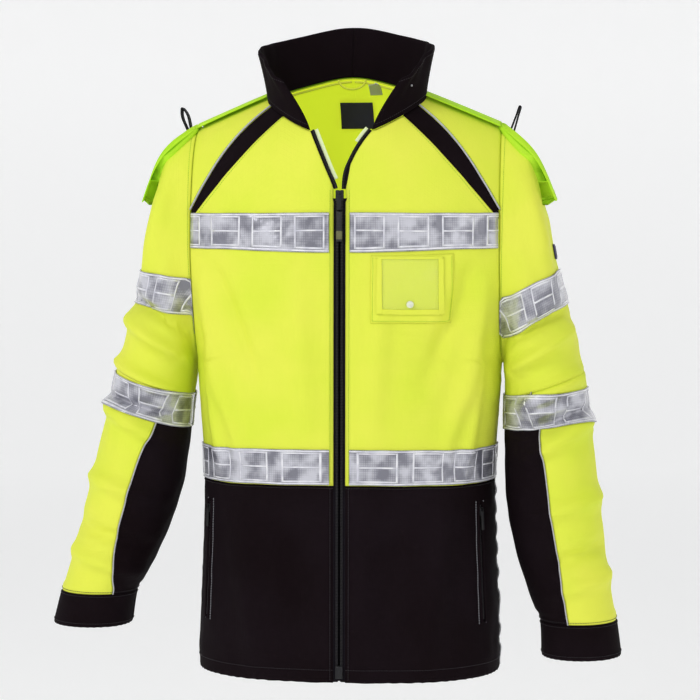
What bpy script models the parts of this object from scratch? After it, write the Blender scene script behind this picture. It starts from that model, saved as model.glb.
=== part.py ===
"""High-visibility safety jacket with reflective bands, a raglan sleeve cut and a vented back cape.

Metres, +Z up, the wearer faces -Y and the wearer's left is +X. The hem's lowest edge is at Z = 0.
The torso surface is a superellipse section up to CHEST_Z and an arch over the shoulders above it.
Every fabric panel is a grid laid on that surface, or on the sleeve's loft, and thickened inwards.
"""

import math

import bmesh
import bpy
from mathutils import Vector

# Torso
CHEST_Z = 0.600
ARMPIT_Z = 0.450
HEM_HALF_WIDTH = 0.221
WAIST_HALF_WIDTH = 0.213
ARMHOLE_X = 0.2220
SHOULDER_HALF_WIDTH = 0.262
HALF_DEPTH_HEM = 0.150
FRONT_SLOPE = 0.014
RIDGE_Z = 0.8835
RIDGE_SLOPE = 0.427
RIDGE_ROUND = 0.040
SECTION_POWER = 2.4
SEAM_Z = 0.279
# Neck opening, an ellipse seen from above
NECK_HALF_WIDTH = 0.112
NECK_HALF_DEPTH = 0.085
NECK_CENTRE_Y = -0.042
NECK_FRONT_DEG = 23.0
INSET_INNER_DEG = 50.0
INSET_OUTER_DEG = 70.0
# Where the raglan seams reach the armhole
INSET_TIP_Z = 0.655
INSET_TOP_Z = 0.668
# Fabric
WALL = 0.003
SEAM = 0.0006
TRIM_LIFT = 0.0012
TRIM = 0.0009
BAND = 0.050
BAND_START_X = 0.0150
WAIST_BAND_Z = 0.280
CHEST_BAND_Z = 0.613
# Front zip
ZIP_BOTTOM_Z = 0.012
ZIP_TOP_Z = 0.695
FRONT_EDGE_X = 0.0088
CHAIN_INNER_X = 0.0018
CHAIN_OUTER_X = 0.0048
TAPE_OUTER_X = 0.0200
PULL_TAB_LENGTH = 0.0200
# Collar
COLLAR_HEIGHT = 0.074
COLLAR_LIFT = 0.0015
# Sleeves: ring stations from the armhole to the cuff, as inner point, outer point, half depth
STATIONS = [
    ((0.2245, 0.4500), (0.2245, 0.7850), 0.098),
    ((0.2250, 0.4470), (0.2620, 0.7420), 0.099),
    ((0.2255, 0.4430), (0.2850, 0.6680), 0.096),
    ((0.2265, 0.4370), (0.3020, 0.5900), 0.091),
    ((0.2280, 0.4250), (0.3220, 0.5150), 0.087),
    ((0.2300, 0.3950), (0.3410, 0.4380), 0.085),
    ((0.2330, 0.3300), (0.3570, 0.3550), 0.083),
    ((0.2400, 0.2550), (0.3720, 0.2700), 0.080),
    ((0.2580, 0.1850), (0.3860, 0.1900), 0.074),
    ((0.2840, 0.1200), (0.4000, 0.1220), 0.066),
    ((0.2970, 0.0920), (0.4080, 0.0940), 0.063),
    ((0.3020, 0.0430), (0.4175, 0.0450), 0.064),
]
SLEEVE_SWAY = 0.022
SLEEVE_DROP = 0.018
SLEEVE_FORWARD = 0.028
CUFF_S = 10 / 11
HINGE_Z = 0.797
UNDER_FRONT_DEG = 93.0
UNDER_TOP_Z = 0.440
CAPE_LIFT = 0.007
CAPE_THICK = 0.003

# Hand pockets
POCKET_DEG = 63.0
POCKET_ZIP_Z = (0.082, 0.247)
# The badge window's x and z limits
WINDOW = (0.056, 0.140, 0.524, 0.603)

LIME = (0.60, 0.85, 0.03)
BLACK = (0.012, 0.008, 0.012)
SILVER = (0.62, 0.63, 0.68)
MATERIALS = {
    "hi_vis_fabric": (LIME, 0.75, 0.0),
    "black_fabric": (BLACK, 0.8, 0.0),
    "lining": ((0.55, 0.80, 0.12), 0.85, 0.0),
    "reflective": (SILVER, 0.25, 0.0),
    "piping": ((0.65, 0.66, 0.66), 0.4, 0.0),
    "zip_tape": ((0.02, 0.018, 0.022), 0.7, 0.0),
    "zip_metal": ((0.05, 0.05, 0.055), 0.35, 0.8),
    "pull": ((0.03, 0.03, 0.03), 0.6, 0.0),
    "webbing": ((0.015, 0.015, 0.018), 0.7, 0.0),
    "clear_vinyl": ((0.75, 0.95, 0.25), 0.1, 0.0),
    "label": ((0.10, 0.09, 0.16), 0.6, 0.0),
    "white_label": ((0.80, 0.80, 0.84), 0.6, 0.0),
    "snap": ((0.85, 0.87, 0.80), 0.3, 0.0),
}


def clear_scene():
    for old in list(bpy.data.objects):
        bpy.data.objects.remove(old, do_unlink=True)


def make_materials():
    made = {}
    for name, (colour, roughness, metallic) in MATERIALS.items():
        material = bpy.data.materials.new(name)
        material.use_nodes = True
        shader = material.node_tree.nodes["Principled BSDF"]
        shader.inputs["Base Color"].default_value = (*colour, 1.0)
        shader.inputs["Roughness"].default_value = roughness
        shader.inputs["Metallic"].default_value = metallic
        made[name] = material
    return made


# ---------------------------------------------------------------- surfaces


def smooth(t):
    t = min(1.0, max(0.0, t))
    return t * t * (3 - 2 * t)


def mix(a, b, t):
    return a + (b - a) * t


def half_width(z):
    """Half the torso section's width at height z, wider above the armpit, where the armhole cuts it."""
    if z < SEAM_Z:
        return mix(HEM_HALF_WIDTH, WAIST_HALF_WIDTH, smooth(z / SEAM_Z))
    if z < ARMPIT_Z:
        return mix(WAIST_HALF_WIDTH, ARMHOLE_X, smooth((z - SEAM_Z) / (ARMPIT_Z - SEAM_Z)))
    rise = min(1.0, (z - ARMPIT_Z) / (CHEST_Z - ARMPIT_Z))
    return mix(ARMHOLE_X, SHOULDER_HALF_WIDTH, rise**1.2)


def half_depth(z, back):
    return HALF_DEPTH_HEM - (0 if back else FRONT_SLOPE * min(z, CHEST_Z))


def side_angle(z):
    """The angle at which a section ends: the side seam, or the armhole's plane above the armpit."""
    if z <= ARMPIT_Z:
        return math.pi / 2
    return math.asin(((ARMHOLE_X - 0.001) / half_width(z)) ** (SECTION_POWER / 2))


def body_point(angle, z, back=False):
    """A point of the torso at height z up to CHEST_Z. angle runs from 0 at the centre to 90 degrees at the side."""
    share = 2 / SECTION_POWER
    x = half_width(z) * abs(math.sin(angle)) ** share * (1 if angle >= 0 else -1)
    y = half_depth(z, back) * max(0.0, math.cos(angle)) ** share
    return Vector((x, y if back else -y, z))


def off_centre(x):
    """The distance from the middle plane, rounded off there so that the arch has no crease."""
    return math.hypot(x, RIDGE_ROUND)


def arch_height(x):
    return RIDGE_Z - RIDGE_SLOPE * off_centre(x) - CHEST_Z


def arch_depth(x, back):
    rest = max(0.0, 1 - (abs(x) / SHOULDER_HALF_WIDTH) ** SECTION_POWER)
    return half_depth(CHEST_Z, back) * rest ** (1 / SECTION_POWER)


def arch_power(x):
    return 3.03 - 4.0 * off_centre(x)


def arch_point(x, psi):
    """A point over the shoulder: psi is 0 at the front's chest line, 90 at the ridge and 180 at the back's."""
    share = 2 / arch_power(x)
    back = psi > math.pi / 2
    y = arch_depth(x, back) * abs(math.cos(psi)) ** share
    z = CHEST_Z + arch_height(x) * max(0.0, math.sin(psi)) ** share
    return Vector((x, y if back else -y, z))


def psi_at_height(x, z):
    share = min(1.0, max(0.0, (z - CHEST_Z) / arch_height(x)))
    return math.asin(share ** (arch_power(x) / 2))


def psi_at_depth(x, y):
    """psi of the arch's point at depth y, negative at the front."""
    share = min(1.0, abs(y) / arch_depth(x, y > 0))
    psi = math.acos(share ** (arch_power(x) / 2))
    return psi if y < 0 else math.pi - psi


def neck_plan(omega):
    """The neckline seen from above: omega is 0 at the front and 180 degrees at the back."""
    x = NECK_HALF_WIDTH * math.sin(omega)
    y = NECK_CENTRE_Y - NECK_HALF_DEPTH * math.cos(omega)
    return x, y


def neck_coordinates(omega_deg):
    x, y = neck_plan(math.radians(omega_deg))
    return x, psi_at_depth(x, y)


def neck_point(omega_deg):
    return arch_point(*neck_coordinates(omega_deg))


def neck_psi_at_x(x, back):
    side = math.sqrt(max(0.0, 1 - (x / NECK_HALF_WIDTH) ** 2))
    return psi_at_depth(x, NECK_CENTRE_Y + NECK_HALF_DEPTH * side * (1 if back else -1))


def raglan_line(omega_deg, end_z, bow_deg, back=False):
    """A seam from the neckline to the armhole, as a function of t that gives (x, psi)."""
    x0, psi0 = neck_coordinates(omega_deg)
    x1 = ARMHOLE_X - 0.001
    psi1 = psi_at_height(x1, end_z)
    if back:
        psi1 = math.pi - psi1
        bow_deg = -bow_deg

    def at(t):
        bow = math.radians(bow_deg) * math.sin(math.pi * t)
        return mix(x0, x1, t), mix(psi0, psi1, t) + bow

    return at


def line_psi_at_x(line, x):
    x0, x1 = line(0)[0], line(1)[0]
    return line((x - x0) / (x1 - x0))[1]


INSET_INNER = raglan_line(INSET_INNER_DEG, INSET_TIP_Z, 1.0)
INSET_OUTER = raglan_line(INSET_OUTER_DEG, INSET_TOP_Z, 4.0)
BACK_RAGLAN = raglan_line(180 - INSET_INNER_DEG, INSET_TIP_Z, 1.0, back=True)


def offset_point(place, u, v, lift, turn):
    """The point of a surface at (u, v), moved out along its normal by lift."""
    here = place(u, v)
    if not lift:
        return here
    step = 1e-3
    along_u = place(min(1, u + step), v) - place(max(0, u - step), v)
    along_v = place(u, min(1, v + step)) - place(u, max(0, v - step))
    normal = along_u.cross(along_v) * turn
    return here + normal.normalized() * lift


# ---------------------------------------------------------------- object builders


def add_object(name, mesh, material):
    obj = bpy.data.objects.new(name, mesh)
    mesh.materials.append(MADE[material])
    COAT.objects.link(obj)
    return obj


def panel(name, place, columns, rows, material, side=1, lift=0.0, thick=WALL, inwards=True):
    """A grid laid by place(u, v), u across and v up, seen from outside on the wearer's left; side -1 mirrors it."""
    shape = bmesh.new()
    bmesh.ops.create_grid(shape, x_segments=columns, y_segments=rows, size=0.5)
    for vert in shape.verts:
        spot = offset_point(place, vert.co.x + 0.5, vert.co.y + 0.5, lift, 1)
        vert.co = Vector((spot.x * side, spot.y, spot.z))
    if side < 0:
        bmesh.ops.reverse_faces(shape, faces=shape.faces[:])
    bmesh.ops.remove_doubles(shape, verts=shape.verts[:], dist=1e-5)
    mesh = bpy.data.meshes.new(name)
    shape.to_mesh(mesh)
    shape.free()
    mesh.shade_smooth()
    obj = add_object(name, mesh, material)
    shell = obj.modifiers.new("thickness", "SOLIDIFY")
    shell.thickness = thick
    shell.offset = -1 if inwards else 1
    return obj


def box(name, low, high, material, bevel=0.0):
    shape = bmesh.new()
    bmesh.ops.create_cube(shape, size=1)
    low, high = Vector(low), Vector(high)
    for vert in shape.verts:
        vert.co = Vector([mix(low[k], high[k], vert.co[k] + 0.5) for k in range(3)])
    mesh = bpy.data.meshes.new(name)
    shape.to_mesh(mesh)
    shape.free()
    obj = add_object(name, mesh, material)
    if bevel:
        rounded = obj.modifiers.new("bevel", "BEVEL")
        rounded.width = bevel
        rounded.segments = 2
    return obj


def slanted_box(name, top, bottom, across, normal, width, thick, depth, material, bevel=0.0):
    """A strip from bottom to top, width wide along across, from depth to depth + thick along -normal."""
    along = (top - bottom).normalized()
    across = across.normalized()
    normal = normal.normalized()
    obj = box(name, (-width / 2, depth, 0), (width / 2, depth + thick, (top - bottom).length), material, bevel)
    for vert in obj.data.vertices:
        x, y, z = vert.co
        vert.co = bottom + across * x - normal * y + along * z
    if normal.cross(across).dot(along) < 0:
        obj.data.flip_normals()
    return obj


# ---------------------------------------------------------------- torso


def torso_place(z0, z1, u0=0.0, u1=1.0, back=False):
    """Grid positions on the lower torso. The front's inner edge leaves room for the zip."""

    def place(u, v):
        z = mix(z0, z1, v)
        start = 0.0 if back else (FRONT_EDGE_X / half_width(z)) ** (SECTION_POWER / 2)
        first = math.asin(start)
        last = side_angle(z) - SEAM / half_width(z)
        share = mix(u0, u1, u)
        return body_point(mix(first, last, share), z, back)

    return place


def column_x(u, back=False):
    """The x of a torso column at the chest line, from the centre to the armhole."""
    return torso_place(CHEST_Z, CHEST_Z, back=back)(u, 1).x


def front_top_height(x):
    """The front opening's edge, from the closed zip to the collar's front end."""
    end = neck_point(NECK_FRONT_DEG)
    share = min(1.0, max(0.0, (x - FRONT_EDGE_X) / (end.x - FRONT_EDGE_X)))
    return mix(ZIP_TOP_Z + 0.012, end.z, share**0.8)


def front_top_psi(x):
    """The upper edge of a front panel: the V, then the neckline, then the inset's seam."""
    if x < neck_point(NECK_FRONT_DEG).x:
        return psi_at_height(x, front_top_height(x))
    if x < INSET_INNER(0)[0]:
        return neck_psi_at_x(x, False)
    return line_psi_at_x(INSET_INNER, x)


def back_top_psi(x):
    if x < BACK_RAGLAN(0)[0]:
        return math.pi - neck_psi_at_x(x, True)
    return math.pi - line_psi_at_x(BACK_RAGLAN, x)


def upper_place(z0, back, lower_share=0.5, limit=1.0):
    """A panel from z0 to its seam over the shoulder: the lower part by height, the rest round the arch."""
    top_psi = back_top_psi if back else front_top_psi

    def place(u, v):
        if v <= lower_share:
            return torso_place(z0, CHEST_Z, back=back)(u, v / lower_share)
        x = column_x(u, back)
        psi = (top_psi(x) - math.radians(0.25)) * limit * (v - lower_share) / (1 - lower_share)
        return arch_point(x, math.pi - psi if back else psi)

    return place


def flipped(place):
    """The same surface with u running the other way, so that a back panel faces out."""
    return lambda u, v: place(1 - u, v)


def make_torso(side, word):
    panel(f"{word}_front_panel", upper_place(SEAM_Z + SEAM, False), 9, 14, "hi_vis_fabric", side)
    panel(f"{word}_front_lower", torso_place(0.0, SEAM_Z - SEAM), 9, 5, "black_fabric", side)

    def inset(u, v):
        inner, outer = INSET_INNER(u), INSET_OUTER(u)
        gap = 0.03 * (1 - 0.6 * u)
        share = mix(gap, 1 - gap, v)
        return arch_point(mix(inner[0], outer[0], share), mix(inner[1], outer[1], share))

    panel(f"{word}_shoulder_inset", inset, 10, 1, "black_fabric", side)
    panel(f"{word}_shoulder_panel", shoulder_place(0.0), 6, 10, "hi_vis_fabric", side)


def shoulder_place(margin):
    """The raglan top between the front inset and the back seam: u from the neck to the armhole, v front to back."""
    neck0 = INSET_OUTER_DEG + 0.6
    neck1 = 180 - INSET_INNER_DEG - 0.6
    clear = math.radians(0.5)

    def place(u, v):
        front, back = INSET_OUTER(u), BACK_RAGLAN(u)
        x0, psi0 = neck_coordinates(mix(neck0, neck1, v))
        x1 = front[0]
        x = mix(x0, x1 if u == 1 else mix(front[0], back[0], v), u) if u in (0, 1) else None
        edge_x = mix(front[0], back[0], v)
        straight_x = mix(x0, ARMHOLE_X - 0.001, u)
        psi_low, psi_high = front[1] + clear, back[1] - clear
        neck_low, neck_high = neck_coordinates(neck0)[1], neck_coordinates(neck1)[1]
        along = mix((psi0 - neck_low) / (neck_high - neck_low), v, smooth(u))
        if x is None:
            x = mix(edge_x, straight_x, 4 * v * (1 - v))
        return arch_point(x + margin, mix(psi_low, psi_high, along))

    return place


def both_sides(place):
    """A surface that place gives for the wearer's left half, from the centre out, continued on the right."""

    def whole(u, v):
        spot = place(abs(2 * u - 1), v)
        if abs(2 * u - 1) < 1e-6:
            spot.x = 0
        return Vector((spot.x if u > 0.5 else -spot.x, spot.y, spot.z))

    return whole


def make_back():
    panel("back_panel", flipped(both_sides(upper_place(SEAM_Z + SEAM, True))), 16, 13, "hi_vis_fabric")
    panel("back_lower", flipped(both_sides(torso_place(0.0, SEAM_Z - SEAM, back=True))), 16, 5,
          "black_fabric")
    panel("back_cape", flipped(both_sides(cape_place)), 14, 9, "hi_vis_fabric", lift=CAPE_LIFT,
          thick=CAPE_THICK, inwards=False)
    panel("back_waist_band", flipped(both_sides(waist_band_place(True))), 16, 2, "reflective",
          lift=TRIM_LIFT, thick=TRIM, inwards=False)


# ---------------------------------------------------------------- collar, cape, bands


def collar_place(start_share):
    """u from the front end round the back to the centre, v up the stand."""

    def place(u, v):
        omega = mix(NECK_FRONT_DEG, 179.8, u)
        base = neck_point(omega)
        x, y = neck_plan(math.radians(omega))
        out = Vector((x / NECK_HALF_WIDTH, (y - NECK_CENTRE_Y) / NECK_HALF_DEPTH, 0)).normalized()
        front = smooth((75 - omega) / 50)
        height = COLLAR_HEIGHT * mix(1.0, 0.97, front)
        spread = Vector((0.040, 0.004, 0)) * front + out * mix(0.013, 0.0, front)
        rise = mix(start_share, 1.0, v)
        curl = spread * rise**1.3
        return base + Vector((0, 0, COLLAR_LIFT + height * rise)) + curl

    return place


def make_collar():
    def whole(start):
        half = collar_place(start)
        around = both_sides(lambda u, v: half(1 - u, v))
        return lambda u, v: around(1 - u, v)

    panel("collar_outer", whole(0.0), 24, 3, "black_fabric", thick=0.0028)
    panel("collar_facing", whole(0.02), 24, 3, "black_fabric", lift=-0.0036, thick=0.0022)


def cape_bottom_psi(x):
    return math.pi - psi_at_height(x, mix(0.612, 0.662, (x / ARMHOLE_X) ** 2))


def cape_place(u, v):
    """The cape's half over the back: u from the centre to the armhole, v from its lower edge up to the neck."""
    x = mix(0.0006, ARMHOLE_X - 0.006, u)
    top = math.radians(77)
    if x < NECK_HALF_WIDTH - 0.001:
        top = neck_psi_at_x(x, True) + math.radians(2)
    return arch_point(x, mix(cape_bottom_psi(x), top, v))


def chest_band_place(back):
    """A band at chest height, from the front edge or the centre back to the armhole."""

    def place(u, v):
        z = CHEST_BAND_Z + BAND * v
        x = mix(0.0 if back else BAND_START_X, ARMHOLE_X - 0.003, u)
        psi = psi_at_height(x, z)
        return arch_point(x, math.pi - psi if back else psi)

    return place


def waist_band_place(back):
    base = torso_place(WAIST_BAND_Z, WAIST_BAND_Z + BAND, back=back)
    if back:
        return lambda u, v: base(0.996 * u, v)

    def place(u, v):
        z = mix(WAIST_BAND_Z, WAIST_BAND_Z + BAND, v)
        first = (BAND_START_X / half_width(z)) ** (SECTION_POWER / 2)
        last = side_angle(z) - 0.004
        return body_point(mix(math.asin(first), last, u), z)

    return place


def make_bands(side, word):
    lift = {"lift": TRIM_LIFT, "thick": TRIM, "inwards": False}
    panel(f"{word}_chest_band", chest_band_place(False), 9, 3, "reflective", side, **lift)
    panel(f"{word}_waist_band", waist_band_place(False), 9, 2, "reflective", side, **lift)


# ---------------------------------------------------------------- sleeves


def sway(z, side):
    """How far a sleeve hangs out from the middle shape: the wearer's right one out, the left one in."""
    return -side * SLEEVE_SWAY * max(0.0, (ARMPIT_Z - z) / ARMPIT_Z) ** 1.1


def station(s, side):
    """The inner point, outer point and half depth of the ring at s, from 0 at the armhole to 1 at the cuff's end."""
    last = len(STATIONS) - 1
    at = min(last - 1e-9, max(0.0, s * last))
    i = int(at)
    t = at - i
    near = [STATIONS[min(last, max(0, i + k))] for k in (-1, 0, 1, 2)]

    def curve(a, b, c, d):
        return b + 0.5 * t * (c - a + t * (2 * a - 5 * b + 4 * c - d + t * (3 * (b - c) + d - a)))

    flat = [[*n[0], *n[1], n[2]] for n in near]
    inner_x, inner_z, outer_x, outer_z, depth = (curve(*values) for values in zip(*flat, strict=True))
    shift = side * SLEEVE_DROP * smooth((ARMPIT_Z - inner_z) / ARMPIT_Z)
    inner = Vector((inner_x + sway(inner_z, side), 0, inner_z - shift))
    outer = Vector((outer_x + sway(outer_z, side), 0, outer_z - shift))
    return inner, outer, depth


def armhole_depth(z, back):
    """The torso's half depth where the armhole's plane cuts it."""
    if z >= CHEST_Z:
        x = ARMHOLE_X
        share = min(1.0, (z - CHEST_Z) / arch_height(x))
        return arch_depth(x, back) * (1 - share ** arch_power(x)) ** (1 / arch_power(x))
    rest = max(0.0, 1 - (ARMHOLE_X / half_width(z)) ** SECTION_POWER)
    return half_depth(z, back) * rest ** (1 / SECTION_POWER)


def sleeve_point(phi, s, side):
    """A point of the sleeve: phi is 0 on the outer line, 90 at the front, 180 inside and 270 at the back."""
    inner, outer, depth = station(s, side)
    middle = (inner + outer) / 2
    across = (outer - inner) / 2
    back = math.sin(phi) < 0
    round_y = depth * abs(math.sin(phi)) ** 0.9
    height = mix(inner.z, outer.z, (1 + math.cos(phi)) / 2)
    hole_y = armhole_depth(height, back)
    y = mix(hole_y, round_y, smooth(s / 0.28))
    y = y if back else -y
    forward = SLEEVE_FORWARD * smooth((0.6 - middle.z) / 0.6)
    return middle + across * math.cos(phi) + Vector((0, y - forward, 0))


def s_at_height(phi, z, side):
    """Where the sleeve's line at phi comes down to height z."""
    low, high = 0.0, 1.0
    for _ in range(30):
        mid = (low + high) / 2
        if sleeve_point(phi, mid, side).z > z:
            low = mid
        else:
            high = mid
    return (low + high) / 2


def under_edge(s):
    """phi of the seam between the outer and the under sleeve, which moves inwards at the cuff."""
    return math.radians(UNDER_FRONT_DEG + 25 * smooth((s - 0.72) / 0.2))


UNDER_TOP_S = 0.455


def outer_sleeve_place(side, top, bottom, part):
    """Lime sleeve patches: the whole ring above the under sleeve, and the outer half beside it."""
    gap = math.radians(1.0)

    def ring(u, v):
        s = mix(bottom, top, v)
        if part == "whole":
            phi = mix(math.radians(180 - 0.3), math.radians(-180 + 0.3), u)
        else:
            phi = mix(under_edge(s) - gap, -under_edge(s) + gap, u)
        return sleeve_point(phi, s, side)

    return ring


def under_sleeve_place(side):
    gap = math.radians(1.0)

    def ring(u, v):
        s = mix(CUFF_S - 0.002, UNDER_TOP_S + 0.001, v)
        phi = mix(2 * math.pi - under_edge(s) - gap, under_edge(s) + gap, u)
        return sleeve_point(phi, s, side)

    return ring


def cuff_place(side):
    def ring(u, v):
        phi = mix(math.radians(180 - 0.4), math.radians(-180 + 0.4), u)
        return sleeve_point(phi, mix(1.0, CUFF_S + 0.002, v), side)

    return ring


def sleeve_band_place(side, top_z, phi_limit):
    """A band between two heights, round the sleeve from phi_limit in front to phi_limit at the back."""

    def ring(u, v):
        phi = mix(phi_limit, -phi_limit, u)
        slope = 0.018 * (1 - math.cos(phi)) / 2
        z = top_z - slope - BAND * (1 - v)
        return sleeve_point(phi, s_at_height(phi, z, side), side)

    return ring


def make_sleeve(side, word):
    panel(f"{word}_sleeve_top", outer_sleeve_place(side, 0.0, UNDER_TOP_S - 0.001, "whole"), 18, 8,
          "hi_vis_fabric", side)
    panel(f"{word}_sleeve_outer", outer_sleeve_place(side, UNDER_TOP_S + 0.001, CUFF_S - 0.002, "half"), 9, 8,
          "hi_vis_fabric", side)
    panel(f"{word}_sleeve_under", under_sleeve_place(side), 9, 8, "black_fabric", side)
    panel(f"{word}_cuff", cuff_place(side), 18, 1, "black_fabric", side)
    band = {"lift": 0.0022, "thick": TRIM, "inwards": False}
    panel(f"{word}_upper_sleeve_band", sleeve_band_place(side, 0.592, math.radians(98)), 12, 2,
          "reflective", side, **band)
    panel(f"{word}_lower_sleeve_band", sleeve_band_place(side, 0.436, math.radians(174)), 18, 2,
          "reflective", side, **band)

    def wing(u, v):
        phi = mix(math.radians(10), math.radians(-68), u)
        last = s_at_height(phi, 0.668, side)
        s = mix(last, 0.001, v)
        flare = 0.014 * (1 - v) ** 2
        spot = sleeve_point(phi, s, side)
        inner, outer, _ = station(s, side)
        middle = (inner + outer) / 2
        out = Vector((spot.x - middle.x, spot.y, 0.4 * (spot.z - middle.z))).normalized()
        return spot + out * flare + Vector((0.002, 0, 0))

    panel(f"{word}_cape_wing", wing, 7, 4, "hi_vis_fabric", side, lift=CAPE_LIFT, thick=CAPE_THICK,
          inwards=False)


# ---------------------------------------------------------------- zip


ZIP_LINE_BOTTOM = Vector((0, -half_depth(ZIP_BOTTOM_Z, False), ZIP_BOTTOM_Z))
ZIP_LINE_TOP = Vector((0, -half_depth(CHEST_Z, False), CHEST_Z))
ZIP_AXIS = (ZIP_LINE_TOP - ZIP_LINE_BOTTOM).normalized()


def on_zip(z):
    """The point of the closed zip's straight line at height z."""
    return ZIP_LINE_BOTTOM + ZIP_AXIS * ((z - ZIP_BOTTOM_Z) / ZIP_AXIS.z)


def opening_edge(t, inset):
    """The front opening's edge above the slider, inset from the panel's edge: t from the V's foot to the collar."""
    x = mix(FRONT_EDGE_X, neck_point(NECK_FRONT_DEG).x, t)
    return arch_point(x - inset, psi_at_height(x, front_top_height(x)))


def make_zip():
    front = Vector((0, -1, 0))
    for side, word in ((-1, "right"), (1, "left")):
        middle = Vector((side * (CHAIN_INNER_X + CHAIN_OUTER_X) / 2, 0, 0))
        slanted_box(f"{word}_zip_chain", on_zip(ZIP_TOP_Z) + middle, on_zip(ZIP_BOTTOM_Z + 0.014) + middle,
                    Vector((1, 0, 0)), front, CHAIN_OUTER_X - CHAIN_INNER_X, 0.0026, 0.0012, "zip_metal")
        width = TAPE_OUTER_X - 0.0022
        middle = Vector((side * (TAPE_OUTER_X + 0.0022) / 2, 0, 0))
        slanted_box(f"{word}_zip_tape", on_zip(ZIP_TOP_Z - 0.028) + middle, on_zip(ZIP_BOTTOM_Z - 0.004) + middle,
                    Vector((1, 0, 0)), front, width, 0.0009, 0.0048, "zip_tape")

        def facing(u, v):
            x = mix(0.0075, 0.045, u)
            z = mix(0.012, ZIP_TOP_Z - 0.02, v)
            angle = math.asin((x / half_width(min(z, CHEST_Z))) ** (SECTION_POWER / 2))
            if z < CHEST_Z:
                return body_point(angle, z)
            return arch_point(x, psi_at_height(x, z))

        panel(f"{word}_front_facing", facing, 2, 8, "lining", side, lift=-0.0086, thick=0.0012)
    box("zip_retainer_box", on_zip(ZIP_BOTTOM_Z) + Vector((-0.0052, -0.0010, -0.006)),
        on_zip(ZIP_BOTTOM_Z) + Vector((0.0052, 0.0036, 0.012)), "zip_metal", 0.0008)


def zip_pivot():
    """The hinge line of the slider's pull tab, in front of the slider's bridge."""
    return on_zip(ZIP_TOP_Z - 0.0085) + Vector((0, -0.0046, 0))


def make_slider():
    """The front zip's slider: a front and a rear plate joined by a post that runs between the chain's halves."""
    start = on_zip(ZIP_TOP_Z - 0.016)
    end = on_zip(ZIP_TOP_Z - 0.001)
    across = Vector((1, 0, 0))
    front = Vector((0, -1, 0))
    plate = slanted_box("zip_slider", end, start, across, front, 0.0110, 0.0018, -0.0010, "zip_metal", 0.0005)
    for low, thick, width in ((0.0004, 0.0062, 0.0026), (0.0062, 0.0014, 0.0100), (-0.0030, 0.0024, 0.0030)):
        foot = start if low >= 0 else start + ZIP_AXIS * 0.006
        head = end if low >= 0 else end - ZIP_AXIS * 0.003
        more = slanted_box("slider_piece", head, foot, across, front, width, thick, low, "zip_metal")
        more.hide_render = True
        more.display_type = "WIRE"
        more.parent = plate
        join = plate.modifiers.new("join", "BOOLEAN")
        join.operation = "UNION"
        join.object = more
        HELPERS.objects.link(more)
        COAT.objects.unlink(more)
    pivot = zip_pivot()
    slanted_box("zip_pull_tab", pivot + ZIP_AXIS * 0.0010, pivot - ZIP_AXIS * PULL_TAB_LENGTH, across, front,
                0.0064, 0.0012, -0.0006, "zip_metal", 0.0004)
    slanted_box("zip_puller", pivot - ZIP_AXIS * (PULL_TAB_LENGTH + 0.0022), pivot - ZIP_AXIS * 0.0640,
                across, front, 0.0076, 0.0026, -0.0013, "pull", 0.0009)


def pocket_line(side):
    """The two ends of a hand pocket's zip, the lower one first."""
    ends = [body_point(math.radians(POCKET_DEG), z) for z in POCKET_ZIP_Z]
    return [Vector((end.x * side, end.y, end.z)) for end in ends]


def make_pocket(side, word):
    """A hand pocket: zip on the skirt's side, its slider and pull, and the bag that hangs inside."""
    low, high = pocket_line(side)
    angle = math.radians(POCKET_DEG)
    across = (body_point(angle + 0.05, 0.16) - body_point(angle - 0.05, 0.16)).normalized()
    across.x *= side
    normal = across.cross(high - low)
    if normal.y > 0:
        normal = -normal
    slanted_box(f"{word}_pocket_zip", high, low, across, normal, 0.0150, 0.0012, -0.0024, "zip_tape")
    up = (high - low).normalized()
    slanted_box(f"{word}_pocket_slider", high - up * 0.004, high - up * 0.015, across, normal,
                0.0078, 0.0022, -0.0050, "zip_metal", 0.0005)
    hang = high - up * 0.010
    slanted_box(f"{word}_pocket_pull", hang + up * 0.001, hang - up * 0.026, across, normal,
                0.0050, 0.0014, -0.0068, "pull", 0.0004)

    def bag(u, v):
        z = mix(0.045, 0.255, v)
        return body_point(mix(math.radians(20), math.radians(66), u), z)

    panel(f"{word}_pocket_bag", bag, 5, 5, "lining", side, lift=-0.0098, thick=0.0018)


# ---------------------------------------------------------------- small fittings


def front_patch(x0, x1, z0, z1):
    """A rectangle on the wearer's left front, by its x and z limits."""

    def place(u, v):
        x, z = mix(x0, x1, u), mix(z0, z1, v)
        if z >= CHEST_Z:
            return arch_point(x, psi_at_height(x, z))
        angle = math.asin((x / half_width(z)) ** (SECTION_POWER / 2))
        return body_point(angle, z)

    return place


def make_id_pocket():
    """The badge pocket on the wearer's left chest: a framed panel and a clear window that lifts on its top seam."""
    panel("id_pocket_panel", front_patch(0.046, 0.156, 0.510, 0.607), 5, 5, "hi_vis_fabric", lift=0.0012,
          thick=0.0012, inwards=False)
    panel("id_window", front_patch(*WINDOW), 4, 4, "clear_vinyl", lift=0.0032, thick=0.0008,
          inwards=False)
    snap = front_patch(*WINDOW)
    bottom = snap(0.5, 0.14)
    shape = bmesh.new()
    bmesh.ops.create_cone(shape, cap_ends=True, segments=16, radius1=0.0046, radius2=0.0038, depth=0.0016)
    mesh = bpy.data.meshes.new("id_snap_cap")
    shape.to_mesh(mesh)
    shape.free()
    cap = add_object("id_snap_cap", mesh, "snap")
    out = (snap(0.6, 0.14) - snap(0.4, 0.14)).cross(snap(0.5, 0.24) - snap(0.5, 0.04)).normalized()
    cap.rotation_mode = "QUATERNION"
    cap.rotation_quaternion = out.to_track_quat("Z", "Y")
    cap.location = bottom + out * 0.0054


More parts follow.
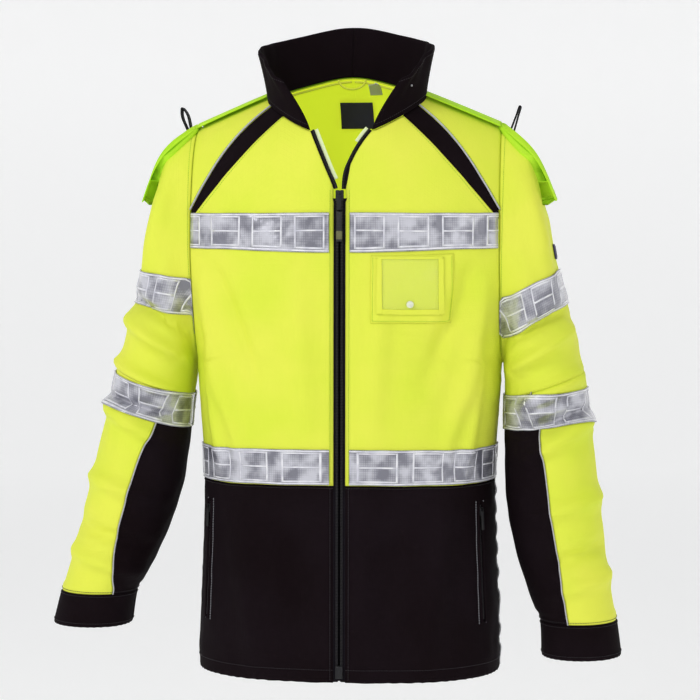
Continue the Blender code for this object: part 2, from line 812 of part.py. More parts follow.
def make_neck_fittings():
    """The hang loop, the name label and the size label inside the back of the neck."""
    back = neck_point(179.9)
    loop_top = back + Vector((0.0, -0.0050, -0.004))
    curve = bpy.data.curves.new("hang_loop", "CURVE")
    curve.dimensions = "3D"
    curve.bevel_depth = 0.0014
    curve.bevel_resolution = 1
    curve.use_fill_caps = True
    line = curve.splines.new("POLY")
    count = 12
    line.points.add(count)
    for i in range(count + 1):
        turn = math.pi * i / count
        line.points[i].co = (0.020 * math.cos(turn), loop_top.y - 0.006, loop_top.z - 0.014 * math.sin(turn), 1)
    loop = bpy.data.objects.new("hang_loop", curve)
    curve.materials.append(MADE["hi_vis_fabric"])
    COAT.objects.link(loop)

    def inside(x0, x1, z0, z1):
        def place(u, v):
            x, z = mix(x1, x0, u), mix(z0, z1, v)
            return arch_point(x, math.pi - psi_at_height(x, z))

        return place

    panel("neck_label", inside(-0.026, 0.026, 0.795, 0.835), 3, 3, "label", lift=-0.0070, thick=0.0010)
    panel("size_label", inside(0.024, 0.044, 0.846, 0.860), 2, 2, "white_label", lift=-0.0070, thick=0.0008)


def mic_foot(side):
    return Vector((side * 0.2400, 0.004, 0.7960))


def make_mic_tab(side, word):
    """A folded webbing loop that stands on the shoulder, sewn to the cape's outer corner."""
    foot = mic_foot(side)
    lean = math.radians(18)
    up = Vector((side * math.sin(lean), 0, math.cos(lean)))
    slanted_box(f"{word}_mic_tab", foot + up * 0.024, foot, Vector((0, 1, 0)), Vector((side, 0, 0)), 0.017, 0.0042,
                -0.0021, "webbing", 0.0009)


def make_sleeve_patch():
    def place(u, v):
        phi = mix(math.radians(16), math.radians(-8), u)
        return sleeve_point(phi, s_at_height(phi, mix(0.597, 0.618, v), 1), 1)

    panel("sleeve_patch", place, 2, 2, "label", lift=0.0012, thick=0.0009, inwards=False)


def hang_on(name, at, parts, parent):
    """Puts the named parts under an empty at a joint's axis, without moving them."""
    empty = bpy.data.objects.new(name, None)
    empty.location = at
    empty.parent = parent
    COAT.objects.link(empty)
    for part in parts:
        piece = bpy.data.objects[part]
        piece.parent = empty
        piece.location = piece.location - at
    return empty


def place_on_axes():
    """Groups the moving parts at their axes, then moves the whole coat so that the hang loop is at the origin."""
    loop = bpy.data.objects["hang_loop"].data.splines[0].points[6].co
    coat = bpy.data.objects.new("coat", None)
    coat.location = -Vector((0.0, loop.y, loop.z))
    COAT.objects.link(coat)
    groups = [
        ("zip_slider_axis", on_zip(ZIP_TOP_Z - 0.0085), ["zip_slider"]),
        ("zip_pull_tab_axis", zip_pivot(), ["zip_pull_tab"]),
        ("zip_puller_axis", zip_pivot() - ZIP_AXIS * (PULL_TAB_LENGTH + 0.0018), ["zip_puller"]),
        ("id_window_axis", window_hinge()[0], ["id_window", "id_snap_cap"]),
    ]
    for side, word in ((-1, "right"), (1, "left")):
        kinds = ("sleeve_top", "sleeve_outer", "sleeve_under", "cuff", "upper_sleeve_band", "lower_sleeve_band",
                 "cape_wing")
        parts = [f"{word}_{kind}" for kind in kinds] + (["sleeve_patch"] if side > 0 else [])
        groups.append((f"{word}_sleeve_axis", Vector((side * ARMHOLE_X, 0, HINGE_Z)), parts))
        groups.append((f"{word}_mic_tab_axis", mic_foot(side), [f"{word}_mic_tab"]))
        groups.append((f"{word}_pocket_slider_axis", pocket_line(side)[1], [f"{word}_pocket_slider",
                                                                           f"{word}_pocket_pull"]))
    moved = set()
    for name, at, parts in groups:
        hang_on(name, at, parts, coat)
        moved.update(parts)
    for piece in COAT.objects:
        if piece.type != "EMPTY" and piece.name not in moved:
            piece.parent = coat


def window_hinge():
    """A point of the badge window's top seam and its direction."""
    place = front_patch(*WINDOW)
    along = (place(1, 1) - place(0, 1)).normalized()
    out = Vector((along.y, -along.x, 0)).normalized()
    return place(0.5, 1) + out * 0.0040, along


clear_scene()
MADE = make_materials()
COAT = bpy.data.collections.new("safety_jacket")
HELPERS = bpy.data.collections.new("helpers")
bpy.context.scene.collection.children.link(COAT)
bpy.context.scene.collection.children.link(HELPERS)
for SIDE, WORD in ((-1, "right"), (1, "left")):
    make_torso(SIDE, WORD)
    make_bands(SIDE, WORD)
    make_sleeve(SIDE, WORD)
    make_pocket(SIDE, WORD)
    make_mic_tab(SIDE, WORD)
make_back()
make_collar()
make_zip()
make_slider()
make_id_pocket()
make_neck_fittings()
make_sleeve_patch()
place_on_axes()
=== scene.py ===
import math

import bmesh
import bpy
import mathutils
import numpy as np
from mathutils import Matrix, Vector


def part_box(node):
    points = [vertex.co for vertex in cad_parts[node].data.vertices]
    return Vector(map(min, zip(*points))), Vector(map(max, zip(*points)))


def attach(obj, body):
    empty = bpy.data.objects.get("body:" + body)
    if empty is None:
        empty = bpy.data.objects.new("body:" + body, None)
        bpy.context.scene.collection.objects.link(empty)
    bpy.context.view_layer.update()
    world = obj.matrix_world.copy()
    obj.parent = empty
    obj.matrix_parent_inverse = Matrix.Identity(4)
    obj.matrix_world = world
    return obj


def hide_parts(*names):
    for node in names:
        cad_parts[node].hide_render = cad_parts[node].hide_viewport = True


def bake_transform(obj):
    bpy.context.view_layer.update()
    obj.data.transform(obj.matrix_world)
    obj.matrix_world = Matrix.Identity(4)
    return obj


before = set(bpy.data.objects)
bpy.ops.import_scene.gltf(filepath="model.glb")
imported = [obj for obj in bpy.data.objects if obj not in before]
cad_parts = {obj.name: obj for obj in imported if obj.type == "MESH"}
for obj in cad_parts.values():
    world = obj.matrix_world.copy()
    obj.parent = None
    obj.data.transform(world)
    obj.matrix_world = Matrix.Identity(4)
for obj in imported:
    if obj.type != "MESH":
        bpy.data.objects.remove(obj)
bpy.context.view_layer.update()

# Everything below is in the coat's own metres, with the hem's edge at z = 0 and the wearer facing -y.
# ORIGIN and SCALE, read from the frame's lower back panel, put it in the frame.
BACK_LOW, BACK_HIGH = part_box("back_lower")
HEM_HALF_WIDTH = 0.221
SCALE = BACK_HIGH[0] / HEM_HALF_WIDTH
ORIGIN = np.array([0.0, BACK_LOW[1], BACK_LOW[2]])
WAIST_HALF_WIDTH = 0.213
SHOULDER_HALF_WIDTH = 0.262
ARMHOLE_X = 0.2220
ARMPIT_Z = 0.450
CHEST_Z = 0.600
SEAM_Z = 0.279
HALF_DEPTH = 0.150
FRONT_SLOPE = 0.014
SECTION_POWER = 2.4
RIDGE_Z = 0.8835
RIDGE_SLOPE = 0.427
RIDGE_ROUND = 0.040
NECK_HALF_WIDTH = 0.112
NECK_HALF_DEPTH = 0.085
NECK_CENTRE_Y = -0.042
NECK_FRONT_DEG = 23.0
INSET_INNER_DEG = 50.0
INSET_OUTER_DEG = 70.0
INSET_TIP_Z = 0.655
INSET_TOP_Z = 0.668
ZIP_BOTTOM_Z = 0.012
ZIP_TOP_Z = 0.695
FRONT_EDGE_X = 0.0085
BAND = 0.050
WAIST_BAND_Z = 0.280
CHEST_BAND_Z = 0.613
BAND_START_X = 0.0150
COLLAR_HEIGHT = 0.074
# Sleeve rings from the armhole to the cuff: inner point, outer point, half depth
STATIONS = [
    ((0.2245, 0.4500), (0.2245, 0.7850), 0.098),
    ((0.2250, 0.4470), (0.2620, 0.7420), 0.099),
    ((0.2255, 0.4430), (0.2850, 0.6680), 0.096),
    ((0.2265, 0.4370), (0.3020, 0.5900), 0.091),
    ((0.2280, 0.4250), (0.3220, 0.5150), 0.087),
    ((0.2300, 0.3950), (0.3410, 0.4380), 0.085),
    ((0.2330, 0.3300), (0.3570, 0.3550), 0.083),
    ((0.2400, 0.2550), (0.3720, 0.2700), 0.080),
    ((0.2580, 0.1850), (0.3860, 0.1900), 0.074),
    ((0.2840, 0.1200), (0.4000, 0.1220), 0.066),
    ((0.2970, 0.0920), (0.4080, 0.0940), 0.063),
    ((0.3020, 0.0430), (0.4175, 0.0450), 0.064),
]
SLEEVE_SWAY = 0.022
SLEEVE_DROP = 0.018
SLEEVE_FORWARD = 0.028
CUFF_S = 10 / 11
UNDER_TOP_S = 0.455
UNDER_FRONT_DEG = 93.0
# Cloth
GRID_COLUMNS = 40
GRID_ROWS = 180
RING_COLUMNS = 72
RING_ROWS = 84
CLOTH_FRAMES = 26
FURTHEST = 0.016
LOOSE_HOLD = 0.02
SHRINK = -0.035
FOLD_DEPTH = 2.2
SOFTENING = 2
FABRIC = 0.0011
HEAVY_FABRIC = 0.0016
TAPE_FABRIC = 0.0008
CAPE_LIFT = 0.0075
# Corners nearer than this are merged where two halves meet
WELD = 0.0015
SIDES = ((-1, "right"), (1, "left"))
WORDS = dict(SIDES)
# Sewing: how near its seam a cloth rolls in and by how much, and the lockstitch
ROLL_REACH = 0.0022
ROLL_DEPTH = 0.0012
STITCH_LIFT = 0.0004
STITCH_PITCH = 0.0036
STITCH_SIZE = (STITCH_PITCH * 0.72, 0.0007, 0.0007)


# ---------------------------------------------------------------- the coat's own shape


def smooth(t):
    t = min(1.0, max(0.0, t))
    return t * t * (3 - 2 * t)


def mix(a, b, t):
    return a + (b - a) * t


def half_width(z):
    if z < SEAM_Z:
        return mix(HEM_HALF_WIDTH, WAIST_HALF_WIDTH, smooth(z / SEAM_Z))
    if z < ARMPIT_Z:
        return mix(WAIST_HALF_WIDTH, ARMHOLE_X, smooth((z - SEAM_Z) / (ARMPIT_Z - SEAM_Z)))
    rise = min(1.0, (z - ARMPIT_Z) / (CHEST_Z - ARMPIT_Z))
    return mix(ARMHOLE_X, SHOULDER_HALF_WIDTH, rise**1.2)


def half_depth(z, back):
    return HALF_DEPTH - (0 if back else FRONT_SLOPE * min(z, CHEST_Z))


def section_angle(x, z):
    """The angle round the torso's section at height z where its half width is x."""
    return math.asin(min(1.0, x / half_width(z)) ** (SECTION_POWER / 2))


def body_point(angle, z, back):
    share = 2 / SECTION_POWER
    x = half_width(z) * abs(math.sin(angle)) ** share
    y = half_depth(z, back) * max(0.0, math.cos(angle)) ** share
    return (x, y if back else -y, z)


def off_centre(x):
    return math.hypot(x, RIDGE_ROUND)


def arch_height(x):
    return RIDGE_Z - RIDGE_SLOPE * off_centre(x) - CHEST_Z


def arch_depth(x, back):
    rest = max(0.0, 1 - (abs(x) / SHOULDER_HALF_WIDTH) ** SECTION_POWER)
    return half_depth(CHEST_Z, back) * rest ** (1 / SECTION_POWER)


def arch_power(x):
    return 3.03 - 4.0 * off_centre(x)


def arch_point(x, psi):
    share = 2 / arch_power(x)
    back = psi > math.pi / 2
    y = arch_depth(x, back) * abs(math.cos(psi)) ** share
    z = CHEST_Z + arch_height(x) * max(0.0, math.sin(psi)) ** share
    return (x, y if back else -y, z)


def psi_at_height(x, z):
    share = min(1.0, max(0.0, (z - CHEST_Z) / arch_height(x)))
    return math.asin(share ** (arch_power(x) / 2))


def psi_at_depth(x, y):
    share = min(1.0, abs(y) / arch_depth(x, y > 0))
    psi = math.acos(share ** (arch_power(x) / 2))
    return psi if y < 0 else math.pi - psi


def neck_coordinates(omega_deg):
    omega = math.radians(omega_deg)
    x = NECK_HALF_WIDTH * math.sin(omega)
    return x, psi_at_depth(x, NECK_CENTRE_Y - NECK_HALF_DEPTH * math.cos(omega))


def neck_psi_at_x(x, back):
    side = math.sqrt(max(0.0, 1 - (x / NECK_HALF_WIDTH) ** 2))
    return psi_at_depth(x, NECK_CENTRE_Y + NECK_HALF_DEPTH * side * (1 if back else -1))


def raglan_line(omega_deg, end_z, bow_deg, back=False):
    """A seam from the neckline to the armhole: t to (x, psi)."""
    x0, psi0 = neck_coordinates(omega_deg)
    x1 = ARMHOLE_X - 0.001
    psi1 = psi_at_height(x1, end_z)
    if back:
        psi1 = math.pi - psi1
        bow_deg = -bow_deg

    def at(t):
        return mix(x0, x1, t), mix(psi0, psi1, t) + math.radians(bow_deg) * math.sin(math.pi * t)

    return at


def line_psi_at_x(line, x):
    x0, x1 = line(0)[0], line(1)[0]
    return line((x - x0) / (x1 - x0))[1]


STATIONS[0] = ((ARMHOLE_X, ARMPIT_Z), (ARMHOLE_X, CHEST_Z + arch_height(ARMHOLE_X)), STATIONS[0][2])
INSET_INNER = raglan_line(INSET_INNER_DEG, INSET_TIP_Z, 1.0)
INSET_OUTER = raglan_line(INSET_OUTER_DEG, INSET_TOP_Z, 4.0)
BACK_RAGLAN = raglan_line(180 - INSET_INNER_DEG, INSET_TIP_Z, 1.0, back=True)


# Torso coordinates: c from the centre to the side, and r, in steps of 1, up the front to the chest line,
# over the shoulder to the back's chest line, and down to the back's hem.


def column_angles(z, back):
    first = 0.0 if back else section_angle(FRONT_EDGE_X, z)
    return first, section_angle(ARMHOLE_X, z)


def column_x(c, back):
    first, last = column_angles(CHEST_Z, back)
    return half_width(CHEST_Z) * math.sin(mix(first, last, c)) ** (2 / SECTION_POWER)


def column_of(x, z=CHEST_Z, share=0.0):
    """c of the torso's column at x: at height z on the front or back, or in between over the shoulder."""
    found = []
    for back in (False, True):
        first, last = column_angles(z, back)
        found.append((section_angle(abs(x), z) - first) / (last - first))
    return mix(found[0], found[1], share)


def back_share(r):
    """How far the columns have moved from the front's, which stop at the zip, to the back's, which meet."""
    return smooth((r - 1.25) / 0.25)


def torso_point(c, r):
    if r <= 1 or r >= 2:
        back = r >= 2
        z = (3 - r if back else r) * CHEST_Z
        return body_point(mix(*column_angles(z, back), c), z, back)
    psi = (r - 1) * math.pi
    x = mix(column_x(c, False), column_x(c, True), back_share(r))
    return arch_point(x, psi)


def arch_spot(x, psi):
    """Torso coordinates of a point over the shoulder."""
    return column_of(x, share=back_share(1 + psi / math.pi)), 1 + psi / math.pi


def front_spot(x, z):
    """Torso coordinates of a point on the front by its x and z."""
    if z >= CHEST_Z:
        return arch_spot(x, psi_at_height(x, z))
    return column_of(x, z), z / CHEST_Z


def back_spot(x, z):
    if z >= CHEST_Z:
        return arch_spot(x, math.pi - psi_at_height(x, z))
    return column_of(x, z, 1.0), 3 - z / CHEST_Z


def sway(z, side):
    return -side * SLEEVE_SWAY * max(0.0, (ARMPIT_Z - z) / ARMPIT_Z) ** 1.1


def station(s, side):
    last = len(STATIONS) - 1
    at = min(last - 1e-9, max(0.0, s * last))
    i = int(at)
    t = at - i
    near = [STATIONS[min(last, max(0, i + k))] for k in (-1, 0, 1, 2)]

    def curve(a, b, c, d):
        return b + 0.5 * t * (c - a + t * (2 * a - 5 * b + 4 * c - d + t * (3 * (b - c) + d - a)))

    flat = [[*n[0], *n[1], n[2]] for n in near]
    inner_x, inner_z, outer_x, outer_z, depth = (curve(*values) for values in zip(*flat, strict=True))
    shift = side * SLEEVE_DROP * smooth((ARMPIT_Z - inner_z) / ARMPIT_Z)
    inner = np.array([inner_x + sway(inner_z, side), 0, inner_z - shift])
    outer = np.array([outer_x + sway(outer_z, side), 0, outer_z - shift])
    return inner, outer, depth


def armhole_depth(z, back):
    if z >= CHEST_Z:
        power = arch_power(ARMHOLE_X)
        share = min(1.0, (z - CHEST_Z) / arch_height(ARMHOLE_X))
        return arch_depth(ARMHOLE_X, back) * (1 - share**power) ** (1 / power)
    rest = max(0.0, 1 - (ARMHOLE_X / half_width(z)) ** SECTION_POWER)
    return half_depth(z, back) * rest ** (1 / SECTION_POWER)


def sleeve_point(phi, s, side):
    """phi is 0 outside, 90 degrees at the front, 180 inside and 270 at the back; s runs to the cuff."""
    inner, outer, depth = station(s, side)
    back = math.sin(phi) < 0
    height = mix(inner[2], outer[2], (1 + math.cos(phi)) / 2)
    y = mix(armhole_depth(height, back), depth * abs(math.sin(phi)) ** 0.9, smooth(s / 0.28))
    forward = SLEEVE_FORWARD * smooth((0.6 - (inner[2] + outer[2]) / 2) / 0.6)
    spot = (inner + outer) / 2 + (outer - inner) / 2 * math.cos(phi)
    spot[1] = (y if back else -y) - forward
    return spot


# ---------------------------------------------------------------- cloth grids


class Cloth:
    """A piece of cloth held as a grid of points. It is read between the points by smooth interpolation."""

    def __init__(self, points, turn=1, ring=False):
        self.points = points
        self.turn = turn
        self.ring = ring

    def taps(self, share, count, ring):
        at = share * (count if ring else count - 1)
        low = np.clip(np.floor(at), -4 * count if ring else 0, 8 * count if ring else count - 2)
        t = at - low
        weights = [
            -0.5 * t + t**2 - 0.5 * t**3,
            1 - 2.5 * t**2 + 1.5 * t**3,
            0.5 * t + 2 * t**2 - 1.5 * t**3,
            -0.5 * t**2 + 0.5 * t**3,
        ]
        index = [low.astype(int) + k for k in (-1, 0, 1, 2)]
        if ring:
            return [i % count for i in index], weights
        return [np.clip(i, 0, count - 1) for i in index], weights

    def at(self, a, b):
        a, b = np.asarray(a, float), np.asarray(b, float)
        columns, across = self.taps(a, self.points.shape[0], self.ring)
        rows, along = self.taps(b, self.points.shape[1], False)
        total = np.zeros(a.shape + (3,))
        for i, wi in zip(columns, across, strict=True):
            for j, wj in zip(rows, along, strict=True):
                total += self.points[i, j] * (wi * wj)[..., None]
        return total

    def out(self, a, b):
        """The outward normal."""
        step = 0.004
        right, left = np.asarray(a) + step, np.asarray(a) - step
        if not self.ring:
            right, left = np.minimum(right, 1), np.maximum(left, 0)
        up, down = np.minimum(np.asarray(b) + step, 1), np.maximum(np.asarray(b) - step, 0)
        normal = np.cross(self.at(right, b) - self.at(left, b), self.at(a, up) - self.at(a, down))
        length = np.linalg.norm(normal, axis=-1, keepdims=True)
        return normal / np.maximum(length, 1e-12) * self.turn

    def lifted(self, a, b, lift):
        return self.at(a, b) + self.out(a, b) * np.asarray(lift)[..., None]


def torso_grid():
    points = np.empty((GRID_COLUMNS + 1, GRID_ROWS + 1, 3))
    for i in range(GRID_COLUMNS + 1):
        for j in range(GRID_ROWS + 1):
            points[i, j] = torso_point(i / GRID_COLUMNS, 3 * j / GRID_ROWS)
    return points


def sleeve_grid(side):
    points = np.empty((RING_COLUMNS, RING_ROWS + 1, 3))
    for i in range(RING_COLUMNS):
        for j in range(RING_ROWS + 1):
            points[i, j] = sleeve_point(2 * math.pi * i / RING_COLUMNS, j / RING_ROWS, side)
    return points


def grid_normals(cloth):
    """Outward normals of a cloth's own grid."""
    points = cloth.points
    if cloth.ring:
        along_a = np.roll(points, -1, axis=0) - np.roll(points, 1, axis=0)
    else:
        along_a = np.gradient(points, axis=0)
    normal = np.cross(along_a, np.gradient(points, axis=1)) * cloth.turn
    return normal / np.maximum(np.linalg.norm(normal, axis=-1, keepdims=True), 1e-12)


def fold(cloth, start, end, width, height, front=True):
    """Raises a soft ridge, or sinks a crease if height is negative, between two (x, z) spots of one side."""
    a, b = np.array(start), np.array(end)
    spots = cloth.points[..., [0, 2]]
    along = np.clip(((spots - a) @ (b - a)) / ((b - a) @ (b - a)), 0, 1)
    gap = np.linalg.norm(spots - a - along[..., None] * (b - a), axis=-1)
    normals = grid_normals(cloth)
    facing = np.clip(normals[..., 1] * (-2.0 if front else 2.0) + 0.2, 0, 1)
    taper = np.sqrt(np.sin(math.pi * np.clip(along, 0.03, 0.97)))
    size = FOLD_DEPTH * height * np.exp(-((gap / width) ** 2)) * taper * facing
    cloth.points = cloth.points + normals * size[..., None]


def torso_holds(cloth):
    """How firmly each point of a torso half is held: fully at the armhole, neck and zip, less elsewhere."""
    c = np.linspace(0, 1, GRID_COLUMNS + 1)[:, None]
    r = np.linspace(0, 3, GRID_ROWS + 1)[None, :]
    near_zip = np.exp(-((c / 0.10) ** 2)) * (r < 1.3)
    over_shoulder = 0.5 * np.exp(-(((r - 1.5) / 0.28) ** 2))
    armpit_r = ARMPIT_Z / CHEST_Z
    armhole = np.exp(-(((1 - c) / 0.05) ** 2)) * ((r > armpit_r) & (r < 3 - armpit_r))
    hem = 0.35 * (np.exp(-((r / 0.03) ** 2)) + np.exp(-(((3 - r) / 0.03) ** 2)))
    neck = (np.abs(cloth.points[..., 0]) < NECK_HALF_WIDTH + 0.01) & (cloth.points[..., 2] > 0.76)
    parts = np.broadcast_arrays(LOOSE_HOLD, near_zip, over_shoulder, armhole, hem, neck)
    return np.clip(np.maximum.reduce(parts), 0, 1)


def sleeve_holds():
    s = np.linspace(0, 1, RING_ROWS + 1)[None, :]
    ends = np.exp(-((s / 0.04) ** 2)) + 0.6 * np.clip((s - CUFF_S + 0.02) / 0.03, 0, 1)
    return np.repeat(np.clip(LOOSE_HOLD + ends, 0, 1), RING_COLUMNS, axis=0)


def grid_faces(cloth, index):
    columns, rows = index.shape
    last = columns if cloth.ring else columns - 1
    faces = []
    for i in range(last):
        for j in range(rows - 1):
            k = (i + 1) % columns
            face = [index[i, j], index[k, j], index[k, j + 1], index[i, j + 1]]
            if len(set(face)) == 4:
                faces.append([int(v) for v in face])
    return faces


def softened(move, ring):
    """A grid's movement averaged with its neighbours', except along the edges, where grids are sewn."""
    for _ in range(SOFTENING):
        before, after = (move[-1:], move[:1]) if ring else (move[:1], move[-1:])
        around = np.concatenate([before, move, after])
        mean = (around[:-2] + 2 * move + around[2:]) / 4
        mean[:, 1:-1] = (mean[:, :-2] + 2 * mean[:, 1:-1] + mean[:, 2:]) / 4
        if not ring:
            mean[[0, -1]] = move[[0, -1]]
        mean[:, [0, -1]] = move[:, [0, -1]]
        move = mean
    return move


def point_count(cloth):
    return cloth.points.shape[0] * cloth.points.shape[1]


def sewn_together(cloths):
    """All the grids' points in one row, which to keep where grids meet, and the faces between those."""
    stacked = np.concatenate([cloth.points.reshape(-1, 3) for cloth in cloths])
    _, first, index = np.unique(np.round(stacked, 5), axis=0, return_index=True, return_inverse=True)
    index = index.reshape(-1)
    faces = []
    begin = 0
    for cloth in cloths:
        end = begin + point_count(cloth)
        faces += grid_faces(cloth, index[begin:end].reshape(cloth.points.shape[:2]))
        begin = end
    return stacked, first, index, faces


def pin(obj, firm):
    """The solver raises each weight to the fourth power, so the root of the wanted hold is written."""
    group = obj.vertex_groups.new(name="hold")
    steps = np.round(firm**0.25 * 20) / 20
    for level in np.unique(steps[steps > 0]):
        group.add([int(v) for v in np.flatnonzero(steps == level)], float(level), "REPLACE")


def add_cloth(obj):
    """A stiff light fabric, cut slightly too full and held by its group."""
    modifier = obj.modifiers.new("cloth", "CLOTH")
    settings = modifier.settings
    settings.quality = 5
    settings.mass = 0.25
    settings.tension_stiffness = 20
    settings.compression_stiffness = 12
    settings.shear_stiffness = 6
    settings.bending_stiffness = 6.0
    settings.tension_damping = 8
    settings.compression_damping = 8
    settings.air_damping = 2
    settings.vertex_group_mass = "hold"
    settings.pin_stiffness = 1.0
    settings.shrink_min = SHRINK
    settings.shrink_max = SHRINK
    settings.effector_weights.gravity = 0.6
    modifier.collision_settings.use_collision = False
    modifier.point_cache.frame_start = 1
    modifier.point_cache.frame_end = CLOTH_FRAMES


def settled_points(obj):
    """Runs the simulation and reads where the points have come to rest."""
    scene = bpy.context.scene
    for moment in range(1, CLOTH_FRAMES + 1):
        scene.frame_set(moment)
    settled = obj.evaluated_get(bpy.context.evaluated_depsgraph_get())
    after = np.empty(len(settled.data.vertices) * 3)
    settled.data.vertices.foreach_get("co", after)
    bpy.data.objects.remove(obj)
    scene.frame_set(1)
    return after.reshape(-1, 3)


def hang(cloths, holds):
    """Lets the whole coat hang as one cloth, so that it creases between its seams. No point goes far."""
    stacked, first, index, faces = sewn_together(cloths)
    firm = np.zeros(len(first))
    np.maximum.at(firm, index, np.concatenate([hold.reshape(-1) for hold in holds]))
    mesh = bpy.data.meshes.new("hanging_cloth")
    mesh.from_pydata([tuple(p) for p in stacked[first]], [], faces)
    obj = bpy.data.objects.new("hanging_cloth", mesh)
    bpy.context.scene.collection.objects.link(obj)
    pin(obj, firm)
    add_cloth(obj)
    before = stacked[first]
    move = settled_points(obj) - before
    far = np.linalg.norm(move, axis=1, keepdims=True)
    move *= FURTHEST * np.tanh(far / FURTHEST) / np.maximum(far, 1e-9)
    after = (before + move)[index]
    begin = 0
    for cloth in cloths:
        end = begin + point_count(cloth)
        settled = after[begin:end].reshape(cloth.points.shape)
        cloth.points = cloth.points + softened(settled - cloth.points, cloth.ring)
        begin = end


def make_cloths():
    """The torso's halves and the sleeves, by side: -1 is the wearer's right."""
    torso, sleeve = {}, {}
    for side in (-1, 1):
        mirror = np.array([side, 1, 1])
        torso[side] = Cloth(torso_grid() * mirror, turn=side)
        sleeve[side] = Cloth(sleeve_grid(side) * mirror, turn=side, ring=True)
    return torso, sleeve


# ---------------------------------------------------------------- building on the cloth


def to_frame(points):
    return np.asarray(points) * SCALE + ORIGIN


def link(name, mesh, materials):
    obj = bpy.data.objects.new(name, mesh)
    bpy.context.scene.collection.objects.link(obj)
    for material in materials:
        mesh.materials.append(MADE[material])
    return obj


def running(points, axis):
    """Distance run along a grid's lines."""
    steps = np.linalg.norm(np.diff(points, axis=axis), axis=-1)
    start = np.zeros_like(np.take(steps, [0], axis=axis))
    return np.concatenate([start, np.cumsum(steps, axis=axis)], axis=axis)


def edge_gap(points, edges):
    """Distance to the nearest of the named edges: l and r are the first and last column, b and t the rows."""
    across, along = running(points, 0), running(points, 1)
    gaps = {"l": across, "r": across[-1:] - across, "b": along, "t": along[:, -1:] - along}
    return np.minimum.reduce([gaps[e] for e in edges]) if edges else np.full(points.shape[:2], 1.0)


def surface_mesh(name, grids, materials, turn=1, thick=FABRIC, weights=None):
    """Smooth sheets through grids of points, as one mesh thickened inwards, with a UV map in metres."""
    points, faces, uvs = [], [], []
    begin = 0
    for grid in grids:
        columns, rows = grid.shape[:2]
        index = begin + np.arange(columns * rows).reshape(columns, rows)
        begin += columns * rows
        across = running(grid, 0).mean(axis=1)
        along = running(grid, 1).mean(axis=0)
        a, b = np.meshgrid(np.arange(columns - 1), np.arange(rows - 1), indexing="ij")
        corners = [(a, b), (a + 1, b), (a + 1, b + 1), (a, b + 1)]
        if turn < 0:
            corners.reverse()
        faces.append(np.stack([index[i, j] for i, j in corners], axis=2).reshape(-1, 4))
        places = [np.stack([across[i], along[j]], axis=-1) for i, j in corners]
        uvs.append(np.stack(places, axis=2).reshape(-1, 2))
        points.append(grid.reshape(-1, 3))
    mesh = bpy.data.meshes.new(name)
    mesh.from_pydata(to_frame(np.concatenate(points)).tolist(), [], np.concatenate(faces).tolist())
    layer = mesh.uv_layers.new(name="cut")
    layer.data.foreach_set("uv", np.concatenate(uvs).astype(np.float32).ravel())
    mesh.shade_smooth()
    obj = link(name, mesh, materials)
    if thick:
        shell = obj.modifiers.new("thickness", "SOLIDIFY")
        shell.thickness = thick * SCALE
        shell.offset = -1
    if weights is not None:
        keep_weights(mesh, [values.reshape(-1) for values in weights])
    return obj


def keep_weights(mesh, weights):
    """Stores how far each point follows the arm, for bend_with_arm."""
    attribute = mesh.attributes.new("own_weight", "FLOAT", "POINT")
    attribute.data.foreach_set("value", np.concatenate(weights).astype(np.float32))


def spots_grid(spot, columns, rows):
    """The cloth coordinates that spot(a, b) gives over an even grid."""
    found = np.array([[spot(i / columns, j / rows) for j in range(rows + 1)] for i in range(columns + 1)])
    return found[..., 0], found[..., 1]


def rolled_in(points, sewn):
    """How far the named edges of a sheet roll in towards their seams."""
    return ROLL_DEPTH * np.exp(-((edge_gap(points, sewn) / ROLL_REACH) ** 2))


def torso_sheet(name, side, spot, columns, rows, material, lift=0.0, sewn="lrbt", thick=FABRIC):
    """A sheet on one half of the torso; its sewn edges roll in towards their seam."""
    c, r = spots_grid(spot, columns, rows)
    cloth = TORSO[side]
    points = cloth.lifted(c, r / 3, lift)
    points = cloth.lifted(c, r / 3, lift - rolled_in(points, sewn))
    return surface_mesh(name, [points], [material], turn=side, thick=thick)


def joined(name, parts, near=1e-5):
    """Several meshes made into one, with their corners merged where they are that near."""
    shape = bmesh.new()
    keep = parts[0]
    for part in parts:
        shape.from_mesh(part.data)
    bmesh.ops.remove_doubles(shape, verts=shape.verts[:], dist=near)
    shape.to_mesh(keep.data)
    shape.free()
    keep.data.shade_smooth()
    keep.name = name
    for part in parts[1:]:
        bpy.data.objects.remove(part)
    return keep


def arm_weights(side):
    """How far a point of a sleeve follows the arm: not at all at the armhole, fully a hand further down."""
    arc = running(SLEEVE_REST[side].points, 1)
    phi = 2 * math.pi * np.arange(RING_COLUMNS) / RING_COLUMNS
    reach = mix(0.15, 0.26, (1 - np.cos(phi)) / 2)[:, None]
    t = np.clip(arc / reach, 0, 1)
    return t * t * (3 - 2 * t)


def arm_weight_at(side, a, s):
    """Those weights between the grid's points."""
    table = Cloth(np.repeat(arm_weights(side)[..., None], 3, axis=2), ring=True)
    return np.clip(table.at(a, s)[..., 0], 0, 1)


def sleeve_sheet(name, side, spot, columns, rows, material, lift=0.0, thick=FABRIC):
    """A sheet on a sleeve, by spot(a, b) in (phi, s)."""
    phi, s = spots_grid(spot, columns, rows)
    a = phi / (2 * math.pi)
    cloth = SLEEVE[side]
    points = cloth.lifted(a, s, lift)
    points = cloth.lifted(a, s, lift - rolled_in(points, "lrbt"))
    weights = [arm_weight_at(side, a, s)]
    obj = surface_mesh(name, [points], [material], turn=side, thick=thick, weights=weights)
    bend_with_arm(obj)
    return obj


def bend_with_arm(obj):
    """Bakes the piece's placement into its mesh and reads its stored arm weights; nothing moves it with the
    sleeve.
    """
    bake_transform(obj)
    own = obj.data.attributes["own_weight"]
    values = np.empty(len(own.data), np.float32)
    own.data.foreach_get("value", values)


